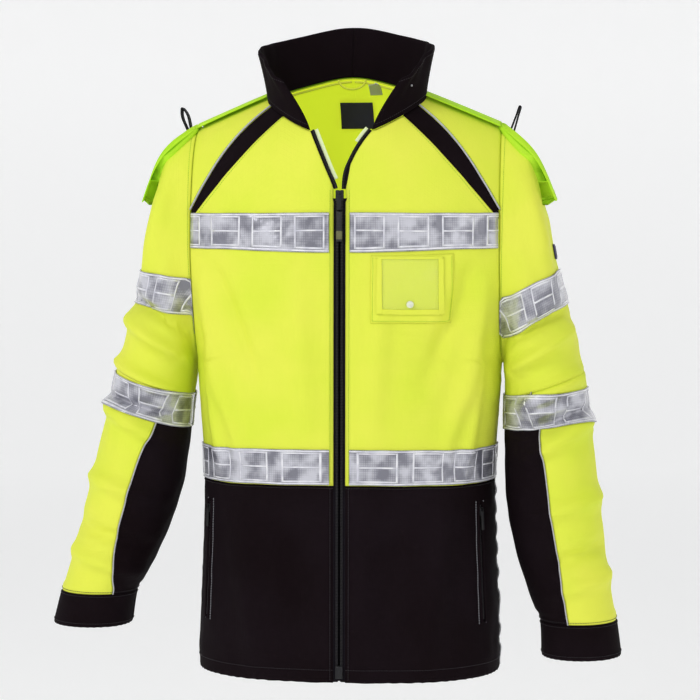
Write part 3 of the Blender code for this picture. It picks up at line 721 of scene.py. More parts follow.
# ---------------------------------------------------------------- materials


class Maker:
    """A material's node tree, with short calls for adding and joining nodes."""

    def __init__(self, name, colour, roughness):
        self.material = bpy.data.materials.new(name)
        self.material.use_nodes = True
        self.tree = self.material.node_tree
        self.shader = self.tree.nodes["Principled BSDF"]
        self.set("Base Color", (*colour, 1.0))
        self.set("Roughness", roughness)

    def set(self, socket, value):
        self.shader.inputs[socket].default_value = value

    def join(self, start, end):
        self.tree.links.new(start, end)

    def node(self, kind, **inputs):
        made = self.tree.nodes.new(kind)
        for socket, value in inputs.items():
            made.inputs[socket.replace("_", " ")].default_value = value
        return made

    def sum(self, operation, first, second=0.0):
        made = self.tree.nodes.new("ShaderNodeMath")
        made.operation = operation
        for socket, value in zip(made.inputs, (first, second), strict=False):
            if isinstance(value, (int, float)):
                socket.default_value = value
            else:
                self.join(value, socket)
        return made.outputs[0]

    def cut(self):
        """The two directions of the piece's cut, in metres."""
        uv = self.tree.nodes.new("ShaderNodeUVMap")
        parts = self.tree.nodes.new("ShaderNodeSeparateXYZ")
        self.join(uv.outputs[0], parts.inputs[0])
        return parts.outputs[0], parts.outputs[1]

    def place(self):
        return self.tree.nodes.new("ShaderNodeTexCoord").outputs["Object"]

    def noise(self, scale, detail=2.0):
        made = self.node("ShaderNodeTexNoise", Scale=scale, Detail=detail)
        self.join(self.place(), made.inputs["Vector"])
        return made.outputs["Fac"]

    def ramp(self, factor, low, high, colours):
        made = self.tree.nodes.new("ShaderNodeValToRGB")
        made.color_ramp.elements[0].position = low
        made.color_ramp.elements[1].position = high
        for element, colour in zip(made.color_ramp.elements, colours, strict=True):
            element.color = (*colour, 1.0)
        self.join(factor, made.inputs[0])
        return made.outputs[0]

    def bump(self, height, strength, distance, under=None):
        made = self.node("ShaderNodeBump", Strength=strength, Distance=distance)
        self.join(height, made.inputs["Height"])
        if under is not None:
            self.join(under, made.inputs["Normal"])
        self.join(made.outputs[0], self.shader.inputs["Normal"])
        return made.outputs[0]


def waves(maker, along, pitch):
    """A sine across the given direction, from 0 to 1."""
    turned = maker.sum("SINE", maker.sum("MULTIPLY", along, 2 * math.pi / pitch))
    return maker.sum("ADD", maker.sum("MULTIPLY", turned, 0.5), 0.5)


def woven(name, colour, other, roughness, thread=0.0011, check=0.0, depth=0.00012, shine=0.15, glow=0.0):
    """Plain weave: threads over and under both ways, slow changes of colour and, for ripstop, a check.

    glow is an even light given off by the fabric, as a share of its colour: a little stands for the hi-vis
    cloth's fluorescence, and the stronger glows are painted light."""
    maker = Maker(name, colour, roughness)
    u, v = maker.cut()
    weave = maker.sum("MULTIPLY", waves(maker, u, thread), waves(maker, v, thread))
    if check:
        lines = maker.sum("MAXIMUM", waves(maker, u, check), waves(maker, v, check))
        weave = maker.sum("ADD", weave, maker.sum("MULTIPLY", maker.sum("POWER", lines, 24.0), 1.4))
    slow = maker.noise(7.0, 3.0)
    maker.join(maker.ramp(slow, 0.36, 0.66, (colour, other)), maker.shader.inputs["Base Color"])
    crinkle = maker.bump(maker.noise(90.0, 3.0), 0.35, 0.0006)
    maker.bump(weave, 0.6, depth, crinkle)
    maker.set("Specular IOR Level", shine)
    if glow:
        maker.set("Emission Color", (*colour, 1.0))
        maker.set("Emission Strength", glow)
    return maker.material


def reflective_material():
    """Grey glass-bead tape under clear glossy vinyl, which is slightly crinkled. Its lighter grey patches are
    partly the tape's own uneven tone and partly painted highlights of the crinkled vinyl.
    """
    maker = Maker("reflective_band", (0.28, 0.28, 0.33), 0.32)
    beads = maker.node("ShaderNodeTexVoronoi", Scale=900.0)
    maker.join(maker.place(), beads.inputs["Vector"])
    tone_and_sheen = maker.noise(38.0, 2.0)
    u, v = maker.cut()
    prisms = maker.sum("POWER", maker.sum("MAXIMUM", waves(maker, u, 0.0032), waves(maker, v, 0.0032)), 10.0)
    tone_and_sheen = maker.sum("SUBTRACT", tone_and_sheen, maker.sum("MULTIPLY", prisms, 0.10))
    # Mottled grey: the lighter patches are partly the tape's uneven tone and partly painted highlights.
    grey = maker.ramp(tone_and_sheen, 0.34, 0.60, ((0.17, 0.17, 0.21), (0.56, 0.56, 0.62)))
    maker.join(grey, maker.shader.inputs["Base Color"])
    crinkle = maker.bump(maker.noise(55.0, 2.5), 0.9, 0.0034)
    maker.bump(beads.outputs["Distance"], 0.25, 0.0002, crinkle)
    maker.set("Metallic", 0.25)
    maker.set("Coat Weight", 1.0)
    maker.set("Coat Roughness", 0.06)
    return maker.material


def rib_material():
    maker = Maker("reflective_rib", (0.74, 0.74, 0.80), 0.28)
    shades = maker.ramp(maker.noise(70.0, 2.0), 0.35, 0.65, ((0.62, 0.62, 0.70), (0.86, 0.86, 0.90)))
    maker.join(shades, maker.shader.inputs["Base Color"])
    maker.bump(maker.noise(160.0, 2.0), 0.3, 0.0006)
    maker.set("Coat Weight", 0.8)
    maker.set("Coat Roughness", 0.1)
    return maker.material


def plain(name, colour, roughness, metallic=0.0, grain=220.0, depth=0.0002):
    maker = Maker(name, colour, roughness)
    marks = maker.noise(grain, 3.0)
    dark = tuple(value * 0.82 for value in colour)
    maker.join(maker.ramp(marks, 0.35, 0.65, (dark, colour)), maker.shader.inputs["Base Color"])
    maker.bump(marks, 0.2, depth)
    maker.set("Metallic", metallic)
    return maker.material


def clear_vinyl():
    maker = Maker("clear_vinyl", (0.86, 0.98, 0.20), 0.07)
    maker.bump(maker.noise(24.0, 2.0), 0.5, 0.004)
    maker.set("Alpha", 0.16)
    maker.set("Coat Weight", 1.0)
    maker.set("Coat Roughness", 0.04)
    return maker.material


def studio_paper():
    """Pale paper with an even light of its own, as if lit from all round."""
    maker = Maker("studio_paper", (0.78, 0.78, 0.78), 0.95)
    maker.set("Specular IOR Level", 0.0)
    maker.set("Emission Color", (1.0, 1.0, 1.0, 1.0))
    maker.set("Emission Strength", 0.35)
    return maker.material


def make_materials():
    lime, lime_deep = (0.76, 0.80, 0.080), (0.68, 0.79, 0.055)
    return {
        "lime": woven("hi_vis_weave", lime, lime_deep, 0.62, check=0.0060, glow=0.04),
        # The cape and its wings use a painted-shade copy of the lime cloth: greener and darker, as the same
        # fabric looks when turned away from the light.
        "cape": woven("shaded_cape_weave", (0.52, 0.84, 0.035), (0.42, 0.78, 0.020), 0.62, check=0.0060, glow=0.04),
        "black": woven("black_weave", (0.0050, 0.0020, 0.0030), (0.0075, 0.0040, 0.0060), 0.85, check=0.0060,
                       shine=0.08),
        "collar": woven("collar_knit", (0.0045, 0.0018, 0.0028), (0.0065, 0.0032, 0.0050), 0.9, thread=0.0016,
                        depth=0.0002, shine=0.08),
        # The lining's strong glow is painted light, which brightens the shaded inside of the neck.
        "lining": woven("lining_mesh", (0.74, 0.86, 0.04), (0.68, 0.84, 0.03), 0.8, thread=0.0018,
                        depth=0.0003, glow=0.50),
        # The facing's glow is painted light, which brightens this pale inner strip.
        "facing": woven("facing_weave", (0.70, 0.78, 0.46), (0.62, 0.72, 0.38), 0.7, glow=0.15),
        "band": reflective_material(),
        "rib": rib_material(),
        "piping": plain("silver_piping", (0.50, 0.50, 0.52), 0.35),
        "lime_thread": plain("lime_thread", (0.48, 0.74, 0.03), 0.6),
        "black_thread": plain("black_thread", (0.020, 0.016, 0.020), 0.7),
        "grey_thread": plain("grey_thread", (0.42, 0.42, 0.46), 0.6),
        "zip_tape": woven("zip_tape_weave", (0.005, 0.004, 0.006), (0.008, 0.006, 0.009), 0.85, thread=0.0008,
                          shine=0.08),
        "teeth": plain("coil_nylon", (0.007, 0.006, 0.008), 0.5),
        "zip_metal": plain("slider_enamel", (0.014, 0.014, 0.016), 0.32, 0.5),
        "pull": plain("pull_rubber", (0.009, 0.009, 0.010), 0.6),
        "pull_mark": plain("pull_olive", (0.13, 0.13, 0.05), 0.5),
        "webbing": woven("tab_webbing", (0.014, 0.013, 0.016), (0.020, 0.018, 0.022), 0.75, thread=0.0014,
                         depth=0.0003),
        "webbing_end": plain("tab_end", (0.55, 0.56, 0.58), 0.5),
        "vinyl": clear_vinyl(),
        "label": woven("label_satin", (0.040, 0.036, 0.085), (0.060, 0.055, 0.120), 0.45, thread=0.0006),
        "white_label": woven("white_label_satin", (0.66, 0.68, 0.76), (0.58, 0.60, 0.68), 0.5, thread=0.0006),
        "snap": plain("snap_enamel", (0.80, 0.84, 0.66), 0.25),
        "studio": studio_paper(),
    }


# ---------------------------------------------------------------- small builders


def loose_mesh(name, points, faces, material):
    """A mesh from corners in the coat's metres."""
    mesh = bpy.data.meshes.new(name)
    mesh.from_pydata(to_frame(points).tolist(), [], faces)
    mesh.shade_smooth()
    return link(name, mesh, [material])


def brick_faces(count):
    """Faces of that many eight-cornered bricks."""
    sides = ((0, 3, 2, 1), (4, 5, 6, 7), (0, 1, 5, 4), (1, 2, 6, 5), (2, 3, 7, 6), (3, 0, 4, 7))
    return [[8 * k + v for v in side] for k in range(count) for side in sides]


def bricks(centres, along, across, out, sizes):
    """Corners of one brick at each centre, sized (along, across, out)."""
    half = np.array(sizes) / 2
    signs = [(-1, -1), (1, -1), (1, 1), (-1, 1)]
    corners = []
    for level in (-1, 1):
        taper = 1.0 if level < 0 else 0.72
        for a, b in signs:
            corners.append(centres + along * half[0] * a * taper + across * half[1] * b * taper
                           + out * half[2] * level)
    return np.stack(corners, axis=1).reshape(-1, 3)


def unit(rows):
    return rows / np.maximum(np.linalg.norm(rows, axis=-1, keepdims=True), 1e-12)


class Line:
    """A line in the coat's metres: its points, the way out of the cloth, and the arm's weight along it."""

    def __init__(self, points, out, weight=None):
        self.points = points
        self.out = out
        self.weight = weight
        self.length = running(points[:, None], 0)[:, 0]

    def moved(self, lift, aside=0.0):
        """The same line lifted out of the cloth, and moved aside."""
        return Line(self.points + aside + self.out * lift, self.out)

    def read(self, rows, at):
        """Three-part values kept along the line, read at these distances."""
        return np.stack([np.interp(at, self.length, rows[:, k]) for k in range(3)], axis=1)

    def spaced(self, pitch):
        """Even steps along the line: their distances, points, directions and ways out."""
        count = max(2, int(self.length[-1] / pitch))
        at = (np.arange(count) + 0.5) * self.length[-1] / count
        along = unit(self.read(self.points, at + pitch / 2) - self.read(self.points, at - pitch / 2))
        return at, self.read(self.points, at), along, unit(self.read(self.out, at))


def cloth_line(cloth, a, b, lift=0.0, side=None):
    """A line on a cloth by its coordinates. With a side, it carries that arm's weights."""
    weight = None if side is None else arm_weight_at(side, a, b)
    return Line(cloth.lifted(a, b, lift), cloth.out(a, b), weight)


def torso_line(side, spot, count=80, lift=0.0):
    found = np.array([spot(i / count) for i in range(count + 1)])
    return cloth_line(TORSO[side], found[:, 0], found[:, 1] / 3, lift)


def sleeve_line(side, spot, count=80, lift=0.0):
    found = np.array([spot(i / count) for i in range(count + 1)])
    return cloth_line(SLEEVE[side], found[:, 0] / (2 * math.pi), found[:, 1], lift, side)


def stitched(name, lines, thread, side=None):
    """Rows of lockstitch, one small raised brick to a stitch. With a side, it keeps the arm's weights along
    its lines.
    """
    corners, weights = [], []
    for line in lines:
        at, centres, along, out = line.spaced(STITCH_PITCH)
        corners.append(bricks(centres, along, np.cross(along, out), out, STITCH_SIZE))
        if line.weight is not None:
            weights.append(np.repeat(np.interp(at, line.length, line.weight), 8))
    points = np.concatenate(corners)
    obj = loose_mesh(name, points, brick_faces(len(points) // 8), thread)
    return finish_soft(obj, side, weights)


def pipe_faces(begin, steps, sides):
    """Faces between the rings of a pipe whose first corner has number begin."""
    faces = []
    for i in range(steps):
        low, high = begin + i * sides, begin + (i + 1) * sides
        for k in range(sides):
            n = (k + 1) % sides
            faces.append([low + k, low + n, high + n, high + k])
    return faces


def tube(name, lines, radius, material, side=None):
    """A round cord along each line."""
    sides = 8
    points, faces, weights = [], [], []
    begin = 0
    for line in lines:
        along = unit(np.gradient(line.points, axis=0))
        across = unit(np.cross(along, line.out))
        out = np.cross(across, along)
        turn = 2 * math.pi * np.arange(sides) / sides
        ring = across[:, None] * np.cos(turn)[None, :, None] + out[:, None] * np.sin(turn)[None, :, None]
        points.append((line.points[:, None] + ring * radius).reshape(-1, 3))
        count = len(line.points)
        faces += pipe_faces(begin, count - 1, sides)
        faces.append([begin + k for k in reversed(range(sides))])
        faces.append([begin + (count - 1) * sides + k for k in range(sides)])
        if line.weight is not None:
            weights.append(np.repeat(line.weight, sides))
        begin += count * sides
    obj = loose_mesh(name, np.concatenate(points), faces, material)
    return finish_soft(obj, side, weights)


def finish_soft(obj, side, weights):
    """Rides on the coat, or, with weights, keeps them and is baked in place by bend_with_arm."""
    if side is None or not weights:
        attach(obj, "coat_body")
        return obj
    keep_weights(obj.data, weights)
    bend_with_arm(obj)
    return obj


def block(name, centre, axes, sizes, material, round_by=0.0006, body="coat_body", steps=3):
    """A rounded block: axes are its three directions, sizes its lengths along them."""
    shape = bmesh.new()
    bmesh.ops.create_cube(shape, size=1)
    mesh = bpy.data.meshes.new(name)
    shape.to_mesh(mesh)
    shape.free()
    axes = [np.array(axis) / np.linalg.norm(axis) for axis in axes]
    for vert in mesh.vertices:
        spot = sum(axis * size * vert.co[k] for k, (axis, size) in enumerate(zip(axes, sizes, strict=True)))
        vert.co = to_frame(np.array(centre) + spot)
    if np.dot(np.cross(axes[0], axes[1]), axes[2]) < 0:
        mesh.flip_normals()
    mesh.shade_smooth()
    obj = link(name, mesh, [material])
    bevel = obj.modifiers.new("round", "BEVEL")
    bevel.width = round_by * SCALE
    bevel.segments = steps
    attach(obj, body)
    return obj


def stand_for(obj, node):
    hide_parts(node)


def settle(obj, node, body="coat_body"):
    """The piece stands for a CAD node and moves with a body."""
    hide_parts(node)
    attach(obj, body)


# ---------------------------------------------------------------- torso


def v_height(x, side):
    """The open front's edge: straight on the wearer's right, bowed out on the left."""
    end_x, end_psi = neck_coordinates(NECK_FRONT_DEG)
    end_z = arch_point(end_x, end_psi)[2]
    share = min(1.0, max(0.0, (x - FRONT_EDGE_X) / (end_x - FRONT_EDGE_X)))
    return mix(ZIP_TOP_Z + 0.001, end_z, share ** (1.0 if side < 0 else 0.52))


def front_top_psi(x, side):
    if x < neck_coordinates(NECK_FRONT_DEG)[0]:
        return psi_at_height(x, v_height(x, side))
    if x < INSET_INNER(0)[0]:
        return neck_psi_at_x(x, False)
    return line_psi_at_x(INSET_INNER, x)


def back_top_psi(x):
    if x < BACK_RAGLAN(0)[0]:
        return math.pi - neck_psi_at_x(x, True)
    return math.pi - line_psi_at_x(BACK_RAGLAN, x)


def front_panel_spot(side):
    def spot(a, b):
        if b <= 0.5:
            return a, mix(SEAM_Z, CHEST_Z, b * 2) / CHEST_Z
        psi = front_top_psi(column_x(a, False), side) * (b * 2 - 1)
        return a, 1 + psi / math.pi

    return spot


def back_panel_spot(a, b):
    if b <= 0.5:
        return 1 - a, 3 - mix(SEAM_Z, CHEST_Z, b * 2) / CHEST_Z
    psi = back_top_psi(column_x(1 - a, True)) * (b * 2 - 1)
    return 1 - a, 2 - psi / math.pi


def inset_spot(a, b):
    inner, outer = INSET_INNER(a), INSET_OUTER(a)
    return arch_spot(mix(inner[0], outer[0], b), mix(inner[1], outer[1], b))


def shoulder_spot(a, b):
    """Between the inset and the back raglan seam: a from the neck to the armhole, b from front to back."""
    omega = mix(INSET_OUTER_DEG, 180 - INSET_INNER_DEG, b)
    x0, psi0 = neck_coordinates(omega)
    front, back = INSET_OUTER(a), BACK_RAGLAN(a)
    low, high = neck_coordinates(INSET_OUTER_DEG)[1], neck_coordinates(180 - INSET_INNER_DEG)[1]
    along = mix((psi0 - low) / (high - low), b, smooth(a))
    x = mix(mix(front[0], back[0], b), mix(x0, ARMHOLE_X, a), 4 * b * (1 - b))
    if a == 1:
        x = ARMHOLE_X
    return arch_spot(x, mix(front[1], back[1], along))


def lower_spot(back):
    def spot(a, b):
        z = SEAM_Z * b
        return (1 - a, 3 - z / CHEST_Z) if back else (a, z / CHEST_Z)

    return spot


def make_torso():
    for side, word in SIDES:
        for name, node, spot, columns, rows, material, thick in (
            ("front_cloth", "front_panel", front_panel_spot(side), 56, 150, "lime", FABRIC),
            ("lower_cloth", "front_lower", lower_spot(False), 60, 80, "black", HEAVY_FABRIC),
            ("inset_cloth", "shoulder_inset", inset_spot, 60, 12, "black", FABRIC),
            ("shoulder_cloth", "shoulder_panel", shoulder_spot, 44, 50, "lime", FABRIC),
        ):
            panel = torso_sheet(f"{word}_{name}", side, spot, columns, rows, material, thick=thick)
            settle(panel, f"{word}_{node}")
        piping = torso_line(side, lambda t: arch_spot(*INSET_OUTER(t)), lift=0.0012)
        tube(f"{word}_inset_piping", [piping], 0.0013, "piping")
    for name, spot, rows, material, node in (
        ("back_cloth", back_panel_spot, 120, "lime", "back_panel"),
        ("back_lower_cloth", lower_spot(True), 60, "black", "back_lower"),
    ):
        halves = [torso_sheet(f"{name}_{side}", side, spot, 56, rows, material, sewn="lbt")
                  for side, _ in SIDES]
        settle(joined(name, halves, WELD), node)


def make_seams():
    """Topstitching beside the zip, hem, raglan seams and waist seam, and the side seams' piping."""
    edge = FRONT_EDGE_X + 0.0055
    hem_r = 0.018 / CHEST_Z
    waist_r = (SEAM_Z - 0.0035) / CHEST_Z
    lime = (
        (lambda t: front_spot(edge, mix(SEAM_Z + 0.003, ZIP_TOP_Z, t)), 120),
        (lambda t: arch_spot(mix(INSET_INNER(t)[0], 0, 0.012), INSET_INNER(t)[1] - 0.025), 80),
        (lambda t: arch_spot(INSET_OUTER(t)[0], INSET_OUTER(t)[1] + 0.03), 80),
    )
    black = (
        (lambda t: front_spot(edge, mix(0.004, SEAM_Z - 0.003, t)), 80),
        (lambda t: (t, hem_r), 100),
        (lambda t: (t, 3 - hem_r), 100),
        (lambda t: (t, waist_r), 100),
    )
    for colour, spots in (("lime", lime), ("black", black)):
        lines = [torso_line(side, spot, count, STITCH_LIFT) for side, _ in SIDES for spot, count in spots]
        stitched(f"{colour}_topstitch", lines, f"{colour}_thread")
    seams = [torso_line(side, lambda t: (0.992, mix(0.004, SEAM_Z - 0.002, t) / CHEST_Z), 80, 0.0006)
             for side, _ in SIDES]
    tube("side_seam_piping", seams, 0.0010, "piping")


# ---------------------------------------------------------------- reflective bands


PATTERN = 0.064
WIDE_BLOCK = 0.043
RIB_WIDTH = 0.0024


def rib_boxes(length):
    """A band's raised ribs as (start, end, low, high): along it in metres, across it as a share."""
    edge = RIB_WIDTH / BAND
    boxes = [(0.0, length, 0.035, 0.035 + edge), (0.0, length, 0.965 - edge, 0.965)]
    start = 0.006
    while start < length - RIB_WIDTH:
        boxes.append((start, start + RIB_WIDTH, 0.10, 0.90))
        block = min(WIDE_BLOCK, length - start)
        boxes.append((start + RIB_WIDTH, start + block, 0.5 - edge / 2, 0.5 + edge / 2))
        for low, high in ((0.10, 0.10 + edge * 0.8), (0.90 - edge * 0.8, 0.90)):
            boxes.append((start + RIB_WIDTH, start + block, low, high))
        if start + WIDE_BLOCK + RIB_WIDTH < length:
            boxes.append((start + WIDE_BLOCK, start + WIDE_BLOCK + RIB_WIDTH, 0.10, 0.90))
        start += PATTERN
    return boxes


def rib_grids(place, length):
    grids = []
    for start, end, low, high in rib_boxes(length):
        columns = max(1, int((end - start) / 0.006))
        rows = max(1, int((high - low) * BAND / 0.006))
        a = np.linspace(start / length, end / length, columns + 1)[:, None].repeat(rows + 1, axis=1)
        b = np.linspace(low, high, rows + 1)[None, :].repeat(columns + 1, axis=0)
        grids.append((a, b))
    return [place(a, b) for a, b in grids], grids


def make_band(name, node, cloth, spot, side, arm=False, lift=0.0020):
    """A reflective band with its ribs and two rows of stitching. spot(a, b) gives cloth coordinates."""
    middle = np.array([spot(i / 40, 0.5) for i in range(41)])
    length = running(cloth.at(middle[:, 0], middle[:, 1])[:, None], 0)[-1, 0]
    columns = max(8, int(length / 0.005))
    a = np.linspace(0, 1, columns + 1)
    table = np.array([[spot(i, j) for j in (0.0, 0.25, 0.5, 0.75, 1.0)] for i in a])
    spots = Cloth(np.concatenate([table, np.zeros(table.shape[:2] + (1,))], axis=2))

    def place(i, j, more=0.0):
        found = spots.at(i, j)
        return cloth.lifted(found[..., 0], found[..., 1], lift + more)

    def weight(i, j):
        found = spots.at(i, j)
        return arm_weight_at(side, found[..., 0], found[..., 1])

    i = a[:, None].repeat(13, axis=1)
    j = np.linspace(0, 1, 13)[None, :].repeat(columns + 1, axis=0)
    weights = [weight(i, j)] if arm else None
    band = surface_mesh(name, [place(i, j)], ["band"], turn=side, thick=0.0007, weights=weights)
    grids, coordinates = rib_grids(lambda p, q: place(p, q, 0.0005), length)
    weights = [weight(p, q) for p, q in coordinates] if arm else None
    ribs = surface_mesh(name + "_ribs", grids, ["rib"], turn=side, thick=0.0006, weights=weights)
    lines = []
    for height in (0.018, 0.982):
        found = spots.at(a, np.full_like(a, height))
        lines.append(cloth_line(cloth, found[..., 0], found[..., 1], lift + 0.0002, side if arm else None))
    stitched(name + "_stitch", lines, "grey_thread", side if arm else None)
    for piece in (band, ribs):
        if arm:
            bend_with_arm(piece)
        else:
            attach(piece, "coat_body")
    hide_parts(node)


def make_body_bands():
    for side, word in SIDES:
        def chest(a, b):
            c, r = front_spot(mix(BAND_START_X, ARMHOLE_X - 0.003, a), CHEST_BAND_Z + BAND * b)
            return c, r / 3

        def waist(a, b):
            z = WAIST_BAND_Z + BAND * b
            return mix(column_of(BAND_START_X, z), 0.985, a), z / CHEST_Z / 3

        for kind, spot in (("chest", chest), ("waist", waist)):
            make_band(f"{word}_{kind}_tape", f"{word}_{kind}_band",
                      TORSO[side], spot, side)


def make_back_band():
    """The waist band's back length runs across both halves, so it is cut as two, one on each half."""
    for side, word in SIDES:
        def spot(a, b):
            z = WAIST_BAND_Z + BAND * b
            return mix(0.985, 0.0, a), (3 - z / CHEST_Z) / 3

        make_band(f"back_tape_{word}", "back_waist_band", TORSO[side], spot, side)


# ---------------------------------------------------------------- collar and cape


COLLAR_THICK = 0.0055


def collar_spot(omega, v):
    """The middle of the collar's stand at height share v."""
    base = np.array(arch_point(*neck_coordinates(omega)))
    x, y, _ = base
    out = unit(np.array([x / NECK_HALF_WIDTH, (y - NECK_CENTRE_Y) / NECK_HALF_DEPTH, 0.0]))
    front = smooth((75 - omega) / 50)
    height = COLLAR_HEIGHT * mix(1.0, 0.97, front)
    spread = np.array([0.040, 0.004, 0.0]) * front + out * mix(0.013, 0.0, front)
    turn = math.radians(180 - omega)
    wave = 0.0022 * math.cos(turn * 7.0) * v + 0.0012 * math.cos(turn * 17.0) * v * v
    return base + np.array([0, 0, COLLAR_HEIGHT * 0.01 + height * v]) + spread * v**1.3 + out * wave


def collar_grid(side, low, high, count):
    """The collar's outer face, rolled top edge and inner face: low to high are shares of that way round."""
    omegas = np.linspace(NECK_FRONT_DEG, 180.0, 90)
    middle = np.array([[collar_spot(o, v) for v in np.linspace(0, 1, 25)] for o in omegas])
    cloth = Cloth(middle * np.array([side, 1, 1]), turn=side)
    a = np.linspace(0, 1, 90)[:, None].repeat(count, axis=1)
    way = np.linspace(low, high, count)[None, :].repeat(90, axis=0)
    height = np.clip(np.where(way < 0.5, way, 1 - way) * 2 * 1.04, 0, 1)
    crown = np.sqrt(np.clip(1 - np.clip((height - 0.9) / 0.1, 0, 1) ** 2, 0, 1))
    front = np.clip(running(cloth.at(a, height), 0) / 0.003, 0, 1)
    round_off = crown * np.sqrt(1 - (1 - front) ** 2)
    lift = np.where(way < 0.5, 1.0, -1.0) * COLLAR_THICK / 2 * round_off
    return cloth.lifted(a, np.minimum(height, 1.0), lift)


def make_collar():
    parts = {}
    for side in (-1, 1):
        for name, low, high in (("collar_shell", 0.0, 0.5), ("collar_inside", 0.5, 1.0)):
            piece = surface_mesh(f"{name}_{side}", [collar_grid(side, low, high, 40)], ["collar"], turn=side,
                                 thick=0)
            parts.setdefault(name, []).append(piece)
    shell = joined("collar_shell", parts["collar_shell"])
    inside = joined("collar_inside", parts["collar_inside"])
    for piece, node in ((shell, "collar_outer"), (inside, "collar_facing")):
        thickness = piece.modifiers.new("thickness", "SOLIDIFY")
        thickness.thickness = 0.0008
        thickness.offset = -1
        settle(piece, node)
    lines = []
    for side in (-1, 1):
        for share in (0.06, 0.45):
            grid = collar_grid(side, 0.0, 0.5, 40)
            row = grid[:, int(share * 2 * 39)]
            facing = unit(np.cross(np.gradient(grid, axis=0), np.gradient(grid, axis=1)))
            out = facing[:, int(share * 78)] * side
            lines.append(Line(row, out))
    stitched("collar_topstitch", lines, "black_thread")
    dot = collar_grid(1, 0.0, 0.5, 40)[14, 22]
    block("collar_snap_dot", dot + np.array([0.0006, -0.0012, 0]), ((1, 0, 0), (0, 0, 1), (0, 1, 0)),
          (0.0026, 0.0026, 0.0012), "piping", 0.0006)


CAPE_FRONT_PSI = math.radians(74)


def cape_spot(a, b):
    x = mix(ARMHOLE_X - 0.004, 0.0, a)
    bottom = math.pi - psi_at_height(x, mix(0.612, 0.662, (x / ARMHOLE_X) ** 2))
    top = neck_psi_at_x(x, True) + math.radians(2) if x < NECK_HALF_WIDTH else CAPE_FRONT_PSI
    return arch_spot(x, mix(bottom, max(top, CAPE_FRONT_PSI), b))


def make_cape():
    halves, hem = [], []
    for side in (-1, 1):
        c, r = spots_grid(cape_spot, 70, 60)
        cloth = TORSO[side]
        free = np.linspace(1, 0, 61)[None, :] ** 2
        across = np.linspace(0, 1, 71)[:, None]
        swell = 0.0030 * np.cos((1 - across) * 9.0) * free + 0.0030 * free
        points = cloth.lifted(c, r / 3, CAPE_LIFT + swell)
        halves.append(surface_mesh(f"cape_{side}", [points], ["cape"], turn=side, thick=HEAVY_FABRIC))
        out = cloth.out(c, r / 3)
        hem.append(Line(points[:, 3], out[:, 3]))
    cape = joined("back_cape_cloth", halves, WELD)
    settle(cape, "back_cape")
    width, length = cut_size(points)
    stitched("cape_hem_stitch", hem, "lime_thread")


def cut_size(points):
    """The longest way across a grid and the longest way down it."""
    return running(points, 0)[-1].max() * SCALE, running(points, 1)[:, -1].max() * SCALE


# ---------------------------------------------------------------- sleeves


def under_edge(s, side):
    """phi of the seam between the outer and the under sleeve."""
    top = (30 if side < 0 else 12) * math.exp(-(((s - UNDER_TOP_S) / 0.10) ** 2))
    cuff = (30 if side < 0 else 12) * smooth((s - 0.70) / 0.22)
    return math.radians(UNDER_FRONT_DEG + top + cuff)


def ring_spot(top, bottom):
    return lambda a, b: (mix(-math.pi, math.pi, a), mix(top, bottom, b))


def s_at_height(phi, z, side):
    """Where the sleeve's line at phi comes down to height z, on the sleeve's own shape."""
    low, high = 0.0, 1.0
    for _ in range(26):
        mid = (low + high) / 2
        if sleeve_point(phi, mid, side)[2] > z:
            low = mid
        else:
            high = mid
    return (low + high) / 2


SLEEVE_BANDS = {
    (-1, "upper"): (0.583, 0.020, 140),
    (1, "upper"): (0.583, 0.055, 140),
    (-1, "lower"): (0.4335, 0.033, 179),
    (1, "lower"): (0.412, 0.010, 179),
}


def make_sleeve(side):
    word = WORDS[side]

    def outer(a, b):
        s = mix(UNDER_TOP_S, CUFF_S, b)
        edge = under_edge(s, side)
        return mix(-edge, edge, a), s

    def under(a, b):
        s = mix(UNDER_TOP_S, CUFF_S, b)
        edge = under_edge(s, side)
        return mix(edge, 2 * math.pi - edge, a), s

    for node, spot, columns, rows, material, thick in (
        ("sleeve_top", ring_spot(0.0, UNDER_TOP_S), 128, 84, "lime", FABRIC),
        ("sleeve_outer", outer, 70, 96, "lime", FABRIC),
        ("sleeve_under", under, 70, 96, "black", FABRIC),
        ("cuff", ring_spot(CUFF_S, 1.0), 110, 20, "black", 0.0022),
    ):
        panel = sleeve_sheet(f"{word}_{node}_cloth", side, spot, columns, rows, material, thick=thick)
        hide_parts(f"{word}_{node}")
    edges = [
        sleeve_line(side, lambda t: (sign * under_edge(mix(UNDER_TOP_S, CUFF_S, t), side),
                                     mix(UNDER_TOP_S, CUFF_S, t)), 90, 0.0009)
        for sign in (1, -1)
    ]
    tube(f"{word}_sleeve_piping", edges, 0.0010, "piping", side)
    rows = [sleeve_line(side, lambda t, at=at: (mix(-math.pi, math.pi, t), at), 120, 0.0004)
            for at in (CUFF_S - 0.008, CUFF_S + 0.008, 0.985)]
    stitched(f"{word}_cuff_stitch", rows, "black_thread", side)
    head = [sleeve_line(side, lambda t: (mix(-math.pi, math.pi, t), 0.018), 160, 0.0004)]
    stitched(f"{word}_armhole_stitch", head, "lime_thread", side)
    for kind in ("upper", "lower"):
        top_z, slope, reach = SLEEVE_BANDS[side, kind]

        def band(a, b):
            phi = mix(-math.radians(reach), math.radians(reach), a)
            z = top_z - slope * ((1 - math.cos(phi)) / 2) - BAND * b
            return phi / (2 * math.pi), s_at_height(phi, z, side)

        make_band(f"{word}_{kind}_sleeve_tape", f"{word}_{kind}_sleeve_band",
                  SLEEVE[side], band, side, arm=True, lift=0.0022)


